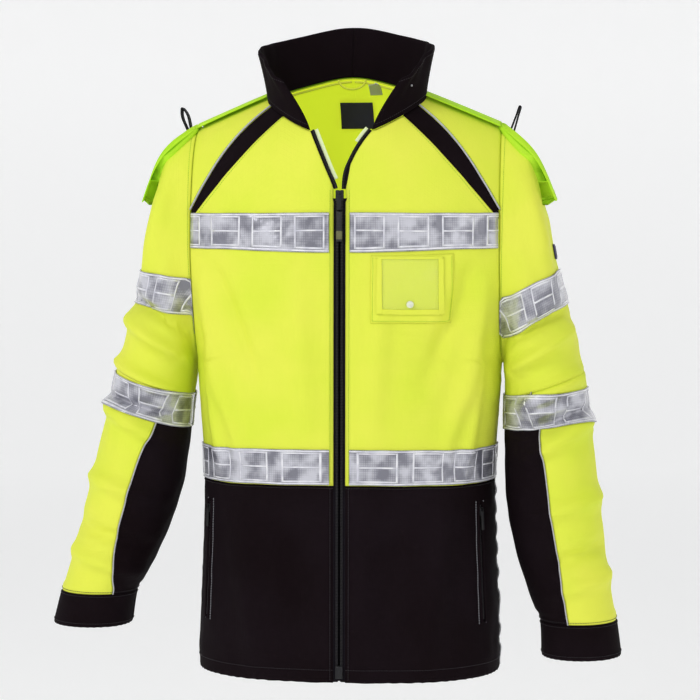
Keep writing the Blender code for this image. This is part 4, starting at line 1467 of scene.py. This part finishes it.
def make_wing(side):
    """The cape's corner that hangs over the sleeve's head."""
    word = WORDS[side]

    def spot(a, b):
        phi = mix(math.radians(-72), math.radians(16), a)
        last = s_at_height(phi, mix(0.700, 0.676, a), side)
        return phi, mix(0.004, last, b)

    phi, s = spots_grid(spot, 50, 40)
    a = phi / (2 * math.pi)
    cloth = SLEEVE_REST[side]
    down = np.linspace(0, 1, 41)[None, :]
    along = np.linspace(0, 1, 51)[:, None]
    flare = CAPE_LIFT + 0.012 * down**1.6 + 0.0022 * np.sin(along * 7.0 + side) * down
    points = cloth.lifted(a, s, flare)
    weights = arm_weight_at(side, a, s)
    wing = surface_mesh(f"{word}_cape_wing_cloth", [points], ["cape"], turn=side, thick=HEAVY_FABRIC,
                        weights=[weights])
    line = Line(points[:, 37], cloth.out(a, s)[:, 37], weights[:, 37])
    stitched(f"{word}_wing_stitch", [line], "lime_thread", side)
    bend_with_arm(wing)
    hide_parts(f"{word}_cape_wing")
    cut_size(points)


# ---------------------------------------------------------------- front zip


ZIP_TURN = np.array([0.0, -1.0, 0.0])
PITCH = 0.0021
TAPE_X = 0.0200
TAB_LENGTH = 0.0200


def on_zip(z):
    """The point of the closed zip's straight line at height z."""
    low = np.array([0, -half_depth(ZIP_BOTTOM_Z, False), ZIP_BOTTOM_Z])
    high = np.array([0, -half_depth(CHEST_Z, False), CHEST_Z])
    return low + (high - low) * ((z - ZIP_BOTTOM_Z) / (high[2] - low[2]))


ZIP_AXIS = (on_zip(CHEST_Z) - on_zip(0)) / np.linalg.norm(on_zip(CHEST_Z) - on_zip(0))
ZIP_AXES = ((1, 0, 0), ZIP_TURN, ZIP_AXIS)


def straight_line(start, end, out, count=60):
    share = np.linspace(0, 1, count)[:, None]
    points = start + (end - start) * share
    return Line(points, np.repeat(np.array(out, float)[None], count, axis=0))


def strip(name, line, low, high, lift, material):
    """A tape along a line, from low to high across it, the positive way being the wearer's left."""
    along = unit(np.gradient(line.points, axis=0))
    across = unit(np.cross(line.out, along))
    across *= np.sign(across[:, :1].mean() + 1e-9)
    steps = np.linspace(low, high, 9)
    grid = line.points[:, None] + across[:, None] * steps[None, :, None] + (line.out * lift)[:, None]
    facing = np.cross(np.gradient(grid, axis=0), np.gradient(grid, axis=1))
    turn = 1 if np.sum(facing * line.out[:, None]) > 0 else -1
    piece = surface_mesh(name, [grid], [material], turn=turn, thick=TAPE_FABRIC)
    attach(piece, "coat_body")
    return piece


def coil(name, line, across):
    """The wound nylon coil of a zip: one small loop to each pitch, as an arch across the tape."""
    points, faces = [], []
    sides, steps = 6, 5
    _, centres, along, out = line.spaced(PITCH)
    for centre, u, w, n in zip(centres, along, unit(np.cross(along, out)), out, strict=True):
        begin = len(points)
        for i in range(steps + 1):
            turn = math.pi * i / steps
            middle = centre + w * math.cos(turn) * across / 2 + n * math.sin(turn) * 0.0010
            reach = w * math.cos(turn) + n * math.sin(turn)
            for k in range(sides):
                round_turn = 2 * math.pi * k / sides
                aside = reach * math.cos(round_turn) + u * math.sin(round_turn)
                points.append(middle + aside * PITCH * 0.34)
        faces += pipe_faces(begin, steps, sides)
    piece = loose_mesh(name, np.array(points), faces, "teeth")
    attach(piece, "coat_body")
    return piece


RIBBON_LINE = straight_line(on_zip(0.001), on_zip(ZIP_TOP_Z - 0.012), ZIP_TURN, 60)
# Where on the opening's line, of 60 steps, the facing starts to show beside the tape
PALE_FROM = {-1: 8, 1: 36}


def opening_line(side, inset=0.0):
    """The open front's edge, from the slider to the collar."""
    end_x = neck_coordinates(NECK_FRONT_DEG)[0]

    def spot(t):
        x = mix(FRONT_EDGE_X, end_x, t)
        return front_spot(x - inset, v_height(x, side))

    return torso_line(side, spot, 60)


def make_closed_half(side, word):
    """One side of the closed zip: its coil and its ribbon."""
    middle = np.array([side * 0.0033, 0, 0])
    line = straight_line(on_zip(ZIP_BOTTOM_Z) + middle, on_zip(ZIP_TOP_Z) + middle, ZIP_TURN, 200)
    stand_for(coil(f"{word}_zip_coil", line.moved(-0.0008), 0.0028), f"{word}_zip_chain")
    edges = sorted((side * 0.0018, side * TAPE_X))
    stand_for(strip(f"{word}_zip_ribbon", RIBBON_LINE, *edges, -0.0016, "zip_tape"), f"{word}_zip_tape")


def make_open_edge(side, word):
    """One side of the open V: its tape, its coil and the facing turned out beside them."""
    opened = opening_line(side)
    strip(f"{word}_opening_tape", opened, *sorted((-side * 0.0058, side * 0.0030)), -0.0014, "zip_tape")
    along = unit(np.gradient(opened.points, axis=0))
    inwards = unit(np.cross(opened.out, along))
    inwards *= -side * np.sign(inwards[:, :1])
    coil(f"{word}_opening_coil", opened.moved(-0.0006, inwards * 0.0040), 0.0026)
    folded = Line(opened.points[PALE_FROM[side] :], opened.out[PALE_FROM[side] :])
    strip(f"{word}_turned_facing", folded, *sorted((-side * 0.0110, side * 0.0030)), -0.0034, "facing")


def make_facing(side, word):
    """The strip of cloth inside one front edge."""
    middle_x = mix(FRONT_EDGE_X, 0.045, 0.5)
    line = torso_line(side, lambda t: front_spot(middle_x, mix(0.012, ZIP_TOP_Z - 0.008, t)), 80)
    stand_for(strip(f"{word}_facing_cloth", line, -0.017, 0.017, -0.0070, "facing"), f"{word}_front_facing")


def make_zip():
    for side, word in SIDES:
        make_closed_half(side, word)
        make_open_edge(side, word)
        make_facing(side, word)
    strip("zip_guard", RIBBON_LINE, -0.0160, 0.0160, -0.0095, "zip_tape")
    box = block("zip_end_box", on_zip(ZIP_BOTTOM_Z + 0.003) - ZIP_TURN * 0.0010, ZIP_AXES,
                (0.0104, 0.0046, 0.018), "zip_metal", 0.0009)
    stand_for(box, "zip_retainer_box")


def make_slider():
    """The slider's body, bridge and ring, its metal tab, and the moulded puller with an olive end."""
    start, end = on_zip(ZIP_TOP_Z - 0.016), on_zip(ZIP_TOP_Z - 0.001)
    middle = (start + end) / 2
    axes = ZIP_AXES
    front = block("slider_front", middle + ZIP_TURN * 0.0003, axes, (0.0112, 0.0018, 0.0152), "zip_metal",
                  0.0007, "zip_slider")
    stand_for(front, "zip_slider")
    block("slider_rear", middle - ZIP_TURN * 0.0062, axes, (0.0108, 0.0016, 0.0150), "zip_metal", 0.0006,
          "zip_slider")
    block("slider_post", end - ZIP_TURN * 0.0028 - ZIP_AXIS * 0.003, axes, (0.0024, 0.0062, 0.004),
          "zip_metal", 0.0005, "zip_slider")
    for at in (-1, 1):
        block(f"slider_lug_{at}", middle + ZIP_TURN * 0.0022 + ZIP_AXIS * 0.0034 * at, axes,
              (0.0032, 0.0028, 0.0018), "zip_metal", 0.0005, "zip_slider")
    pivot = on_zip(ZIP_TOP_Z - 0.0085) + ZIP_TURN * 0.0046
    tab = block("pull_tab_plate", pivot - ZIP_AXIS * (TAB_LENGTH / 2 + 0.0012), axes,
                (0.0066, 0.0013, TAB_LENGTH - 0.002), "zip_metal", 0.0006, "zip_pull_tab")
    stand_for(tab, "zip_pull_tab")
    block("pull_tab_eye", pivot - ZIP_AXIS * 0.0008, axes, (0.0048, 0.0016, 0.0034), "zip_metal", 0.0006,
          "zip_pull_tab")
    top, bottom = 0.0222, 0.0640
    puller = block("puller_grip", pivot - ZIP_AXIS * (top + bottom) / 2, axes, (0.0078, 0.0028, bottom - top),
                   "pull", 0.0012, "zip_puller")
    stand_for(puller, "zip_puller")
    block("puller_mark", pivot - ZIP_AXIS * (bottom - 0.009) + ZIP_TURN * 0.0004, axes,
          (0.0084, 0.0032, 0.0120), "pull_mark", 0.0012, "zip_puller")
    for k in range(6):
        block(f"puller_ridge_{k}", pivot - ZIP_AXIS * (top + 0.004 + 0.0042 * k) + ZIP_TURN * 0.0014, axes,
              (0.0066, 0.0010, 0.0012), "pull", 0.0004, "zip_puller", 2)


# ---------------------------------------------------------------- pockets and small fittings


POCKET_DEG = 63.0
POCKET_LOW, POCKET_HIGH = 0.082, 0.247


def pocket_spot(z, more=0.0):
    first, last = column_angles(z, False)
    return (math.radians(POCKET_DEG + more) - first) / (last - first), z / CHEST_Z


def beside_pocket(side, past, degrees, lift):
    """The two lines beside a pocket's zip: how far they run past its ends, and how far away they are."""
    low, high = POCKET_LOW - past, POCKET_HIGH + past
    return [torso_line(side, lambda t, way=way: pocket_spot(mix(low, high, t), way * degrees), 50, lift)
            for way in (-1, 1)]


def make_pockets():
    for side, word in SIDES:
        line = torso_line(side, lambda t: pocket_spot(mix(POCKET_LOW, POCKET_HIGH, t)), 50)
        stand_for(strip(f"{word}_pocket_tape", line, -0.0062, 0.0062, 0.0003, "zip_tape"),
                  f"{word}_pocket_zip")
        coil(f"{word}_pocket_coil", line.moved(0.0002), 0.0034)
        tube(f"{word}_pocket_welts", beside_pocket(side, 0.004, 1.7, 0.0010), 0.0022, "black")
        stitched(f"{word}_pocket_stitch", beside_pocket(side, 0.006, 3.2, STITCH_LIFT), "grey_thread")
        up = unit(line.points[-1] - line.points[0])
        out = unit(line.out[-1])
        across = np.cross(up, out)
        top = line.points[-1] + out * 0.0026
        body = f"{word}_pocket_slider"
        axes = (across, out, up)
        slider = block(f"{word}_pocket_slider_body", top - up * 0.0095, axes, (0.0078, 0.0026, 0.011),
                       "zip_metal", 0.0007, body)
        stand_for(slider, f"{word}_pocket_slider")
        pull = block(f"{word}_pocket_pull_grip", top - up * 0.0225 + out * 0.0022, axes,
                     (0.0050, 0.0016, 0.027), "pull", 0.0007, body)
        stand_for(pull, f"{word}_pocket_pull")

        def bag(a, b):
            angle = math.radians(mix(20, 66, a))
            z = mix(0.045, 0.255, b)
            first, last = column_angles(z, False)
            return (angle - first) / (last - first), z / CHEST_Z

        inner = torso_sheet(f"{word}_pocket_lining", side, bag, 20, 20, "lining", lift=-0.0060)
        settle(inner, f"{word}_pocket_bag")


def patch_spot(x0, x1, z0, z1):
    return lambda a, b: front_spot(mix(x0, x1, a), mix(z0, z1, b))


# The badge pocket's cloth and window: from x to x, from z to z
HOLDER = (0.044, 0.158, 0.508, 0.608)
WINDOW = (0.056, 0.140, 0.524, 0.603)


def make_id_pocket():
    """The badge pocket's cloth, stitched on along three sides."""
    holder = torso_sheet("id_pocket_cloth", 1, patch_spot(*HOLDER), 36, 30, "lime", lift=0.0028)
    settle(holder, "id_pocket_panel")
    x0, x1, z0, z1 = HOLDER
    inset = 0.003
    sides = [
        torso_line(1, lambda t: front_spot(mix(x0 + inset, x1 - inset, t), z0 + inset), 40, 0.0030),
        torso_line(1, lambda t: front_spot(x0 + inset, mix(z0 + inset, z1 - inset, t)), 40, 0.0030),
        torso_line(1, lambda t: front_spot(x1 - inset, mix(z0 + inset, z1 - inset, t)), 40, 0.0030),
    ]
    stitched("id_pocket_stitch", sides, "lime_thread")


def make_id_window():
    """The clear window, slightly domed, with its stitched cloth rim."""
    c, r = spots_grid(patch_spot(*WINDOW), 24, 24)
    a = np.linspace(0, 1, 25)[:, None]
    b = np.linspace(0, 1, 25)[None, :]
    swell = 0.0022 * np.sin(math.pi * a) * np.sin(math.pi * b)
    points = TORSO[1].lifted(c, r / 3, 0.0046 + swell)
    window = surface_mesh("id_window_film", [points], ["vinyl"], thick=0.0005)
    settle(window, "id_window", "id_window")
    edge = 0.0035
    inner = (WINDOW[0] - edge, WINDOW[1] + edge, WINDOW[2] - edge, WINDOW[3] + edge * 0.4)
    frame_strips = [
        (inner[0], WINDOW[0] + edge, inner[2], inner[3]),
        (WINDOW[1] - edge, inner[1], inner[2], inner[3]),
        (inner[0], inner[1], inner[2], WINDOW[2] + edge),
        (inner[0], inner[1], WINDOW[3] - edge, inner[3]),
    ]
    grids = []
    for limits in frame_strips:
        c, r = spots_grid(patch_spot(*limits), 20, 20)
        grids.append(TORSO[1].lifted(c, r / 3, 0.0053))
    rim = surface_mesh("id_window_rim", grids, ["lime"], thick=0.0008)
    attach(rim, "id_window")


def make_id_snap():
    x, z = mix(WINDOW[0], WINDOW[1], 0.5), mix(WINDOW[2], WINDOW[3], 0.14)
    found = front_spot(x, z)
    out = TORSO[1].out(np.array(found[0]), np.array(found[1] / 3))
    centre = TORSO[1].at(np.array(found[0]), np.array(found[1] / 3)) + out * 0.0075
    cap = dome("id_snap_button", centre, out, 0.0052, 0.0022, "snap")
    settle(cap, "id_snap_cap", "id_window")


def dome(name, centre, out, radius, height, material):
    """A low rounded button."""
    shape = bmesh.new()
    bmesh.ops.create_uvsphere(shape, u_segments=28, v_segments=12, radius=1.0)
    mesh = bpy.data.meshes.new(name)
    shape.to_mesh(mesh)
    shape.free()
    side = unit(np.cross(out, [0, 0, 1.0]))
    up = np.cross(side, out)
    for vert in mesh.vertices:
        x, y, z = vert.co
        vert.co = to_frame(centre + side * x * radius + up * y * radius + out * z * height)
    if np.dot(np.cross(side, up), out) < 0:
        mesh.flip_normals()
    mesh.shade_smooth()
    return link(name, mesh, [material])


def make_neck_fittings():
    """Inside the back of the neck: the lining with its binding, the hang loop and two blank labels."""
    for side, word in SIDES:
        def spot(a, b):
            x = mix(0.0, 0.108, a)
            top = neck_psi_at_x(x, True) + math.radians(1)
            return arch_spot(x, mix(math.pi - psi_at_height(x, 0.64), top, b))

        lining = torso_sheet(f"{word}_neck_lining", side, spot, 40, 40, "lining", lift=-0.0036, sewn="")
        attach(lining, "coat_body")

        def neck_seam(t):
            x, psi = neck_coordinates(mix(178, 110, t))
            return arch_spot(x, psi + 0.03)

        tube(f"{word}_neck_binding", [torso_line(side, neck_seam, 50, -0.0050)], 0.0022, "lime")
    back = np.array(arch_point(*neck_coordinates(179.9)))
    turns = np.linspace(0, math.pi, 30)
    drop = 0.004 + 0.014 * np.sin(turns)
    loop = np.stack([0.020 * np.cos(turns), np.full(30, back[1] - 0.0110), back[2] - drop], axis=1)
    piece = tube("hang_loop_cord", [Line(loop, np.repeat([[0, -1.0, 0]], 30, axis=0))], 0.0016, "lime")
    stand_for(piece, "hang_loop")
    for node, limits, material in (("neck_label", (-0.026, 0.026, 0.795, 0.835), "label"),
                                   ("size_label", (0.024, 0.044, 0.846, 0.860), "white_label")):
        x = np.linspace(limits[0], limits[1], 17)
        z = np.linspace(limits[2], limits[3], 13)
        found = np.array([[back_spot(abs(i), j) for j in z] for i in x])
        points = TORSO[1].lifted(found[..., 0], found[..., 1] / 3, -0.0078)
        points[..., 0] = np.abs(points[..., 0]) * np.sign(x)[:, None]
        label = surface_mesh(f"{node}_cloth", [points], [material], thick=0.0008)
        settle(label, node)


def mic_tab_grid(side, bulge):
    """A webbing loop along the shoulder, up one side, over the top and down the other."""
    foot = np.array([side * 0.2400, 0.004, 0.7960])
    lean = math.radians(18)
    up = np.array([side * math.sin(lean), 0, math.cos(lean)])
    out = np.array([side * math.cos(lean), 0, -math.sin(lean)])
    along = np.linspace(0, 1, 41)
    rise = np.where(along < 0.5, along, 1 - along) * 2
    height = 0.0385 * np.sin(np.clip(rise, 0, 1) * math.pi / 2) ** 0.9 - 0.0160
    gap = np.cos(math.pi * along) * (0.0014 + bulge * np.sin(math.pi * rise) ** 2) - 0.0008
    width = np.linspace(-0.0085, 0.0085, 9)
    return (foot + up * height[:, None, None] - out * gap[:, None, None]
            + np.array([0, 1.0, 0]) * width[None, :, None])


def make_mic_tabs():
    for side, word in SIDES:
        grid = mic_tab_grid(side, 0.0030 if side < 0 else -0.0008)
        tab = surface_mesh(f"{word}_mic_loop", [grid], ["webbing"], turn=-side, thick=0.0021)
        settle(tab, f"{word}_mic_tab", f"{word}_mic_tab")
        if side < 0:
            end = mic_tab_grid(side, 0.0030)[4:9]
            out = unit(np.cross(np.gradient(end, axis=0), np.gradient(end, axis=1)))
            outwards = np.sign(np.sum(out * np.array([side, 0, 0])))
            raised = end - out * 0.0006 * outwards
            mark = surface_mesh("right_mic_loop_end", [raised], ["webbing_end"], turn=-side, thick=0.0004)
            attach(mark, "right_mic_tab")


def make_sleeve_patch():
    def spot(a, b):
        phi = math.radians(mix(-8, 16, a))
        return phi, s_at_height(phi, mix(0.597, 0.618, b), 1)

    patch = sleeve_sheet("sleeve_patch_cloth", 1, spot, 14, 12, "label", lift=0.0018)
    stand_for(patch, "sleeve_patch")


# ---------------------------------------------------------------- studio


COAT_MIDDLE_Z = 0.463
FLOOR_Z = -0.45
CAMERA_LENS = 113.5
CAMERA_DISTANCE = 3.24
CAMERA_AZIMUTH = math.radians(6)
CAMERA_RISE = math.radians(3)
# Each light's name, place from the coat's middle, size and power
LIGHTS = (
    ("key_light", (-1.7, -2.6, 1.9), 1.1, 37),
    ("fill_light", (2.2, -2.4, 0.9), 1.8, 8),
    ("top_light", (0.0, 0.2, 2.6), 2.0, 12),
)


def aimed(direction):
    """The turn that points a light or a camera along a direction."""
    return mathutils.Vector(direction).to_track_quat("-Z", "Y").to_euler()


def make_sweep():
    """A pale round floor that curves up into a wall on every side."""
    floor_z = to_frame([0, 0, FLOOR_Z])[2]
    profile = [(0.0, 0.0)] + [(7.0 + 2.0 * math.sin(t), 2.0 - 2.0 * math.cos(t))
                              for t in np.linspace(0, math.pi / 2, 13)] + [(9.0, 8.0)]
    sides = 96
    turns = [2 * math.pi * k / sides for k in range(sides)]
    points = [(r * math.cos(t), r * math.sin(t), floor_z + z) for r, z in profile for t in turns]
    faces = [face[::-1] for face in pipe_faces(sides, len(profile) - 2, sides)]
    faces.append(list(range(sides, 2 * sides)))
    mesh = bpy.data.meshes.new("studio_sweep")
    mesh.from_pydata(points, [], faces)
    mesh.shade_smooth()
    sweep = link("studio_sweep", mesh, ["studio"])


def make_lights(centre):
    for name, spot, size, power in LIGHTS:
        light = bpy.data.lights.new(name, "AREA")
        light.energy = power
        light.size = size
        lamp = bpy.data.objects.new(name, light)
        lamp.location = centre + np.array(spot)
        lamp.rotation_euler = aimed(centre - np.array(lamp.location))
        bpy.context.scene.collection.objects.link(lamp)
    world = bpy.data.worlds.new("studio_air")
    world.use_nodes = True
    world.node_tree.nodes["Background"].inputs[0].default_value = (0.95, 0.97, 1.0, 1.0)
    world.node_tree.nodes["Background"].inputs[1].default_value = 0.28
    bpy.context.scene.world = world


def make_camera(centre):
    """The photo's view. The Standard transform keeps the lime as bright as it is in the photo."""
    bpy.context.scene.view_settings.view_transform = "Standard"
    camera = bpy.data.cameras.new("camera")
    camera.lens = CAMERA_LENS
    camera.sensor_width = 36
    view = bpy.data.objects.new("camera", camera)
    level = math.cos(CAMERA_RISE)
    around = [math.sin(CAMERA_AZIMUTH) * level, -math.cos(CAMERA_AZIMUTH) * level]
    offset = np.array([*around, math.sin(CAMERA_RISE)])
    view.location = centre + offset * CAMERA_DISTANCE
    view.rotation_euler = aimed(-offset)
    bpy.context.scene.collection.objects.link(view)
    bpy.context.scene.camera = view


# ---------------------------------------------------------------- the whole coat


# Folds on one side of the coat: start (x, z), end (x, z), width, height
TORSO_FOLDS = (
    ((0.205, 0.560), (0.150, 0.330), 0.012, 0.0050),
    ((0.185, 0.590), (0.120, 0.420), 0.014, -0.0040),
    ((0.195, 0.470), (0.175, 0.300), 0.010, 0.0045),
    ((0.060, 0.560), (0.045, 0.340), 0.016, 0.0035),
    ((0.150, 0.265), (0.120, 0.020), 0.022, 0.0050),
    ((0.070, 0.250), (0.060, 0.010), 0.024, -0.0040),
)
ARM_FOLDS = (
    ((0.238, 0.500), (0.318, 0.545), 0.009, -0.0075),
    ((0.240, 0.455), (0.330, 0.520), 0.011, 0.0080),
    ((0.245, 0.400), (0.345, 0.455), 0.010, 0.0075),
    ((0.250, 0.370), (0.350, 0.400), 0.008, -0.0080),
    ((0.262, 0.330), (0.368, 0.395), 0.010, 0.0070),
    ((0.275, 0.250), (0.385, 0.285), 0.012, 0.0060),
    ((0.290, 0.180), (0.400, 0.215), 0.011, -0.0055),
    ((0.300, 0.140), (0.410, 0.175), 0.011, 0.0050),
)
SHOULDER_FOLD = ((0.262, 0.700), (0.290, 0.560), 0.012, 0.0050)


def fold_torso(cloth, side):
    """Long soft folds that the cut makes: from the armpit down, and beside the zip."""
    for (x0, z0), (x1, z1), width, height in TORSO_FOLDS:
        fold(cloth, (side * x0, z0), (side * x1, z1), width, height)
        start, end = (side * x0 * 0.9, z0 + 0.03), (side * x1 * 0.8, z1)
        fold(cloth, start, end, width * 1.3, height * 0.9, front=False)


def fold_sleeve(cloth, side):
    """Folds across the elbow and down from the armpit, lower on the side whose sleeve hangs lower."""
    drop = SLEEVE_DROP if side > 0 else 0.0
    lowered = [((x0, z0 - drop), (x1, z1 - drop), width, height)
               for (x0, z0), (x1, z1), width, height in ARM_FOLDS]
    for (x0, z0), (x1, z1), width, height in [*lowered, SHOULDER_FOLD]:
        fold(cloth, (side * x0, z0), (side * x1, z1), width, height)
        start, end = (side * x0, z0 + 0.02), (side * x1, z1 - 0.02)
        fold(cloth, start, end, width * 1.2, height * 0.8, front=False)


MADE = make_materials()
TORSO, SLEEVE = make_cloths()
SLEEVE_REST = {side: Cloth(cloth.points.copy(), side, True) for side, cloth in SLEEVE.items()}
for way in (-1, 1):
    fold_torso(TORSO[way], way)
    fold_sleeve(SLEEVE[way], way)
hang([TORSO[-1], TORSO[1], SLEEVE[-1], SLEEVE[1]],
     [torso_holds(TORSO[-1]), torso_holds(TORSO[1]), sleeve_holds(), sleeve_holds()])
make_torso()
make_seams()
make_body_bands()
make_back_band()
make_collar()
make_cape()
for way in (-1, 1):
    make_sleeve(way)
    make_wing(way)
make_zip()
make_slider()
make_pockets()
make_id_pocket()
make_id_window()
make_id_snap()
make_neck_fittings()
make_mic_tabs()
make_sleeve_patch()
make_sweep()
make_lights(to_frame([0, 0, COAT_MIDDLE_Z]))
make_camera(to_frame([0, 0, COAT_MIDDLE_Z]))
